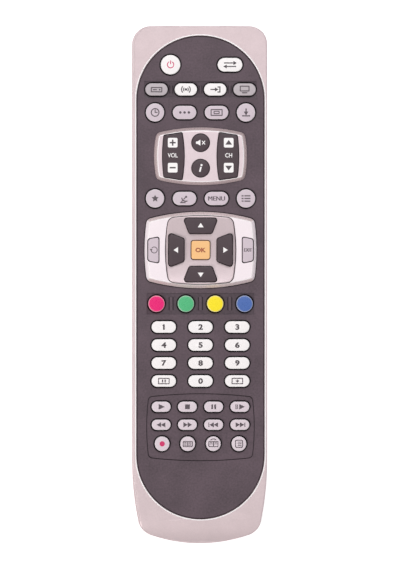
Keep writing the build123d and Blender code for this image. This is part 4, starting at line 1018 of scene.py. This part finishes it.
def block_key(node, shape, place, cap, flange_top=FLANGE_TOP, posts=()):
    """A whole key with straight sides in the place of a CAD key: cap, flange and one post or more."""
    corners, rounding, bows = shape
    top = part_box(node)[1].z
    piece = block(corners, rounding, flange_top - CAP_SINK, top, bows)
    with editing():
        crown_top(top, rise=0)
    flange_low = flange_top - BLOCK_FLANGE_H
    parts = [piece, block(grown(corners, BLOCK_LIP), rounding, flange_low, flange_top)]
    for (x, y), (width, height) in posts:
        around = [(x + side_x * width / 2, y + side_y * height / 2) for side_x, side_y in QUARTERS]
        parts.append(block(around, [POST_ROUNDING] * 4, POST_LOW, flange_low + POST_SINK))
    piece = join(parts, node + "_cap")
    paint(piece, cap, foot_rubber)
    for face in piece.data.polygons:
        face.material_index = 1 if face.center.z < flange_top + JUST_OVER else 0
    soften(piece)
    move(piece, place)
    stand_in(piece, node, node)
    return piece


# The navigation keys: four dark arrow keys round an orange select key in the dish, and a pale key at each
# end of the island. They are moulded in plastic and printed in white, brown and grey.
ARROW_POST, ARROW_POST_Y, ARROW_MARK_Y = (6.9, 3.1), 9.7, 9.65
SIDE_POST, SIDE_POST_X = (2.55, 5.4), 18.75
for turn, (node, shape) in enumerate(arrow_keys.items()):
    post_place, mark_place = turned([(0, ARROW_POST_Y), (0, ARROW_MARK_Y)], 90 * turn)
    post_size = ARROW_POST[::-1] if turn % 2 else ARROW_POST
    block_key(node, shape, NAVIGATION, dark_cap, posts=[(post_place, post_size)])
    print_mark(node, [triangle(1.8, mark_place, 90 * turn, 1.12)], white_ink, at=NAVIGATION)

orange_cap = moulded("orange_cap", (0.95, 0.56, 0.25), 0.03, 2600, 0.34, 0.002)
# The select key's sides are painted dark reddish brown, as the shade on its walls.
orange_side_shade = moulded("orange_side_shade", (0.50, 0.13, 0.05), 0.04, 2600, 0.4, 0.002)
ok_post = ((0, 0), (OK_HALF, OK_HALF))
select_key = block_key("ok_key", ok_keys["ok_key"], NAVIGATION, orange_cap, posts=[ok_post])
select_key.data.materials.append(orange_side_shade)
for face in select_key.data.polygons:
    if face.material_index == 0 and face.normal.z < 0.5:
        face.material_index = 2
brown_ink = matt_ink("brown_ink", (0.40, 0.10, 0.055), "key_red")
print_mark("ok_key", [letters("OK", 1.7, weight=0.05, width=1.15)], brown_ink, at=NAVIGATION)

for node, hand in (("back_key", -1), ("exit_key", 1)):
    side_post = ((hand * SIDE_POST_X, 0), SIDE_POST)
    block_key(node, side_keys[node], NAVIGATION, lilac_cap, posts=[side_post])
open_ring = ring(1.35, 0.3, (-18.6, 0), keep=lambda a: not 140 < a <= 181 and not a < -170)
print_mark("back_key", [open_ring, triangle(0.95, (-19.85, 0.1), 180)], grey_ink, at=NAVIGATION)
print_mark("exit_key", bold("EXIT", 1.4, (18.95, 0), 0.82), grey_ink, at=NAVIGATION)

# The rockers: volume on the left and channel on the right. Each is one bar of dark plastic on two posts that
# tilts about its middle, printed with two white labels and a word between them.
ROCKER_FLANGE_TOP = 18.4 * MM
ROCKER_POST, ROCKER_POST_X, ROCKER_POST_Y = (2.6, 2.6), 10.9, 6.4
LABEL, LABEL_X, LABEL_UP, LABEL_DOWN, WORD_Y = 3.85, 11.2, 5.4, -4.6, 0.35
label_signs = {
    "volume_rocker": (-1, "VOL", lambda x: [
        bar(2.4, 0.6, (x, LABEL_UP)), bar(0.6, 2.4, (x, LABEL_UP)), bar(2.4, 0.6, (x, LABEL_DOWN))]),
    "channel_rocker": (1, "CH", lambda x: [
        triangle(1.9, (x, LABEL_UP - 0.15), 0, 1.25), triangle(1.9, (x, LABEL_DOWN + 0.15), 180, 1.25)]),
}
for node, (hand, word, signs) in label_signs.items():
    posts = [((hand * ROCKER_POST_X, y), ROCKER_POST) for y in (-ROCKER_POST_Y, ROCKER_POST_Y)]
    block_key(node, rocker_keys[node], VOLUME, dark_cap, ROCKER_FLANGE_TOP, posts)
    x = hand * LABEL_X
    labels = [bar(LABEL, LABEL, (x, y), corner=0.55) for y in (LABEL_UP, LABEL_DOWN)]
    labels.append(letters(word, 1.75, (x, WORD_Y), weight=0.035, width=0.86))
    print_mark(node, labels, white_ink, at=VOLUME, name=node + "_labels")
    print_mark(node, signs(x), dark_ink, at=VOLUME, name=node + "_signs", lift=2 * INK)

# What the casing holds: two cells in plain sleeves, with their steel contacts and springs, and the board,
# its parts, the rubber mat, the infrared diode and its window, and the screws.
steel = moulded("spring_steel", (0.62, 0.61, 0.60), 0.05, 3000, 0.28, 0.002, Metallic=1.0)
inner_finishes = {
    "circuit_board": moulded("board_laminate", (0.045, 0.16, 0.06), 0.2, 900, 0.45, 0.004),
    "keypad_mat": moulded("grey_rubber", (0.30, 0.28, 0.30), 0.05, 1500, 0.7, 0.006),
    "board_components": moulded("black_epoxy", (0.03, 0.03, 0.032), 0.15, 2500, 0.45, 0.004),
    "ir_led": moulded("blue_clear_lens", (0.16, 0.15, 0.24), 0.05, 1500, 0.12, 0.001),
    "ir_window": moulded("smoked_window", (0.030, 0.010, 0.016), 0.1, 1500, 0.10, 0.001, 0.15,
                         Coat_Weight=0.5),
    "battery_plates": steel,
    "battery_springs": steel,
    "case_screws": steel,
}
for node, material in inner_finishes.items():
    paint(nodes[node], material)

sleeve = moulded("cell_sleeve", (0.035, 0.075, 0.16), 0.08, 1200, 0.3, 0.002)
band = moulded("cell_band", (0.72, 0.68, 0.60), 0.04, 1200, 0.3, 0.002, Metallic=0.6)
cells_low, cells_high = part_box("batteries")
CELL_R = (cells_high.z - cells_low.z) / 2
CELL_X = (cells_high.x - cells_low.x) / 2 - CELL_R
CELL_MIDDLE_Z = (cells_low.z + cells_high.z) / 2
CELL_L, CELL_ROUNDING = 44.5 * MM, 0.35 * MM
NUB_L, NUB_R = 0.9 * MM, 1.9 * MM
BAND_L = 11 * MM  # from the nub's end to the edge of the band


def cell(hand):
    """One cell along Y: body with rounded ends, a band at the end with the nub, and the nub."""
    nub_end, inward = (cells_low.y, 1) if hand > 0 else (cells_high.y, -1)
    parts = []
    for start, length, radius in ((NUB_L, CELL_L - NUB_L, CELL_R), (0, 2 * NUB_L, NUB_R)):
        parts.append(settle(added(
            bpy.ops.mesh.primitive_cylinder_add, vertices=64, radius=radius, depth=length,
            rotation=(math.pi / 2, 0, 0),
            location=(hand * CELL_X, nub_end + inward * (start + length / 2), CELL_MIDDLE_Z),
        )))
        with editing():
            bevel(CELL_ROUNDING, 4, lambda edge, at: edge.calc_face_angle(0) > 1)
            if radius == CELL_R:
                pick("FACE", lambda face, at: abs(face.normal.y) < UPRIGHT)
                bpy.ops.mesh.bisect(plane_co=(0, nub_end + inward * BAND_L, 0), plane_no=(0, 1, 0))
    piece = join(parts, "cell")
    paint(piece, sleeve, band, steel)
    for face in piece.data.polygons:
        from_nub = inward * (face.center.y - nub_end)
        is_metal = abs(face.normal.y) > UPWARD or from_nub < NUB_L
        face.material_index = 2 if is_metal else 1 if from_nub < BAND_L else 0
    return piece


cells = join([cell(-1), cell(1)], "cells")
soften(cells)
stand_in(cells, "casing", "batteries")
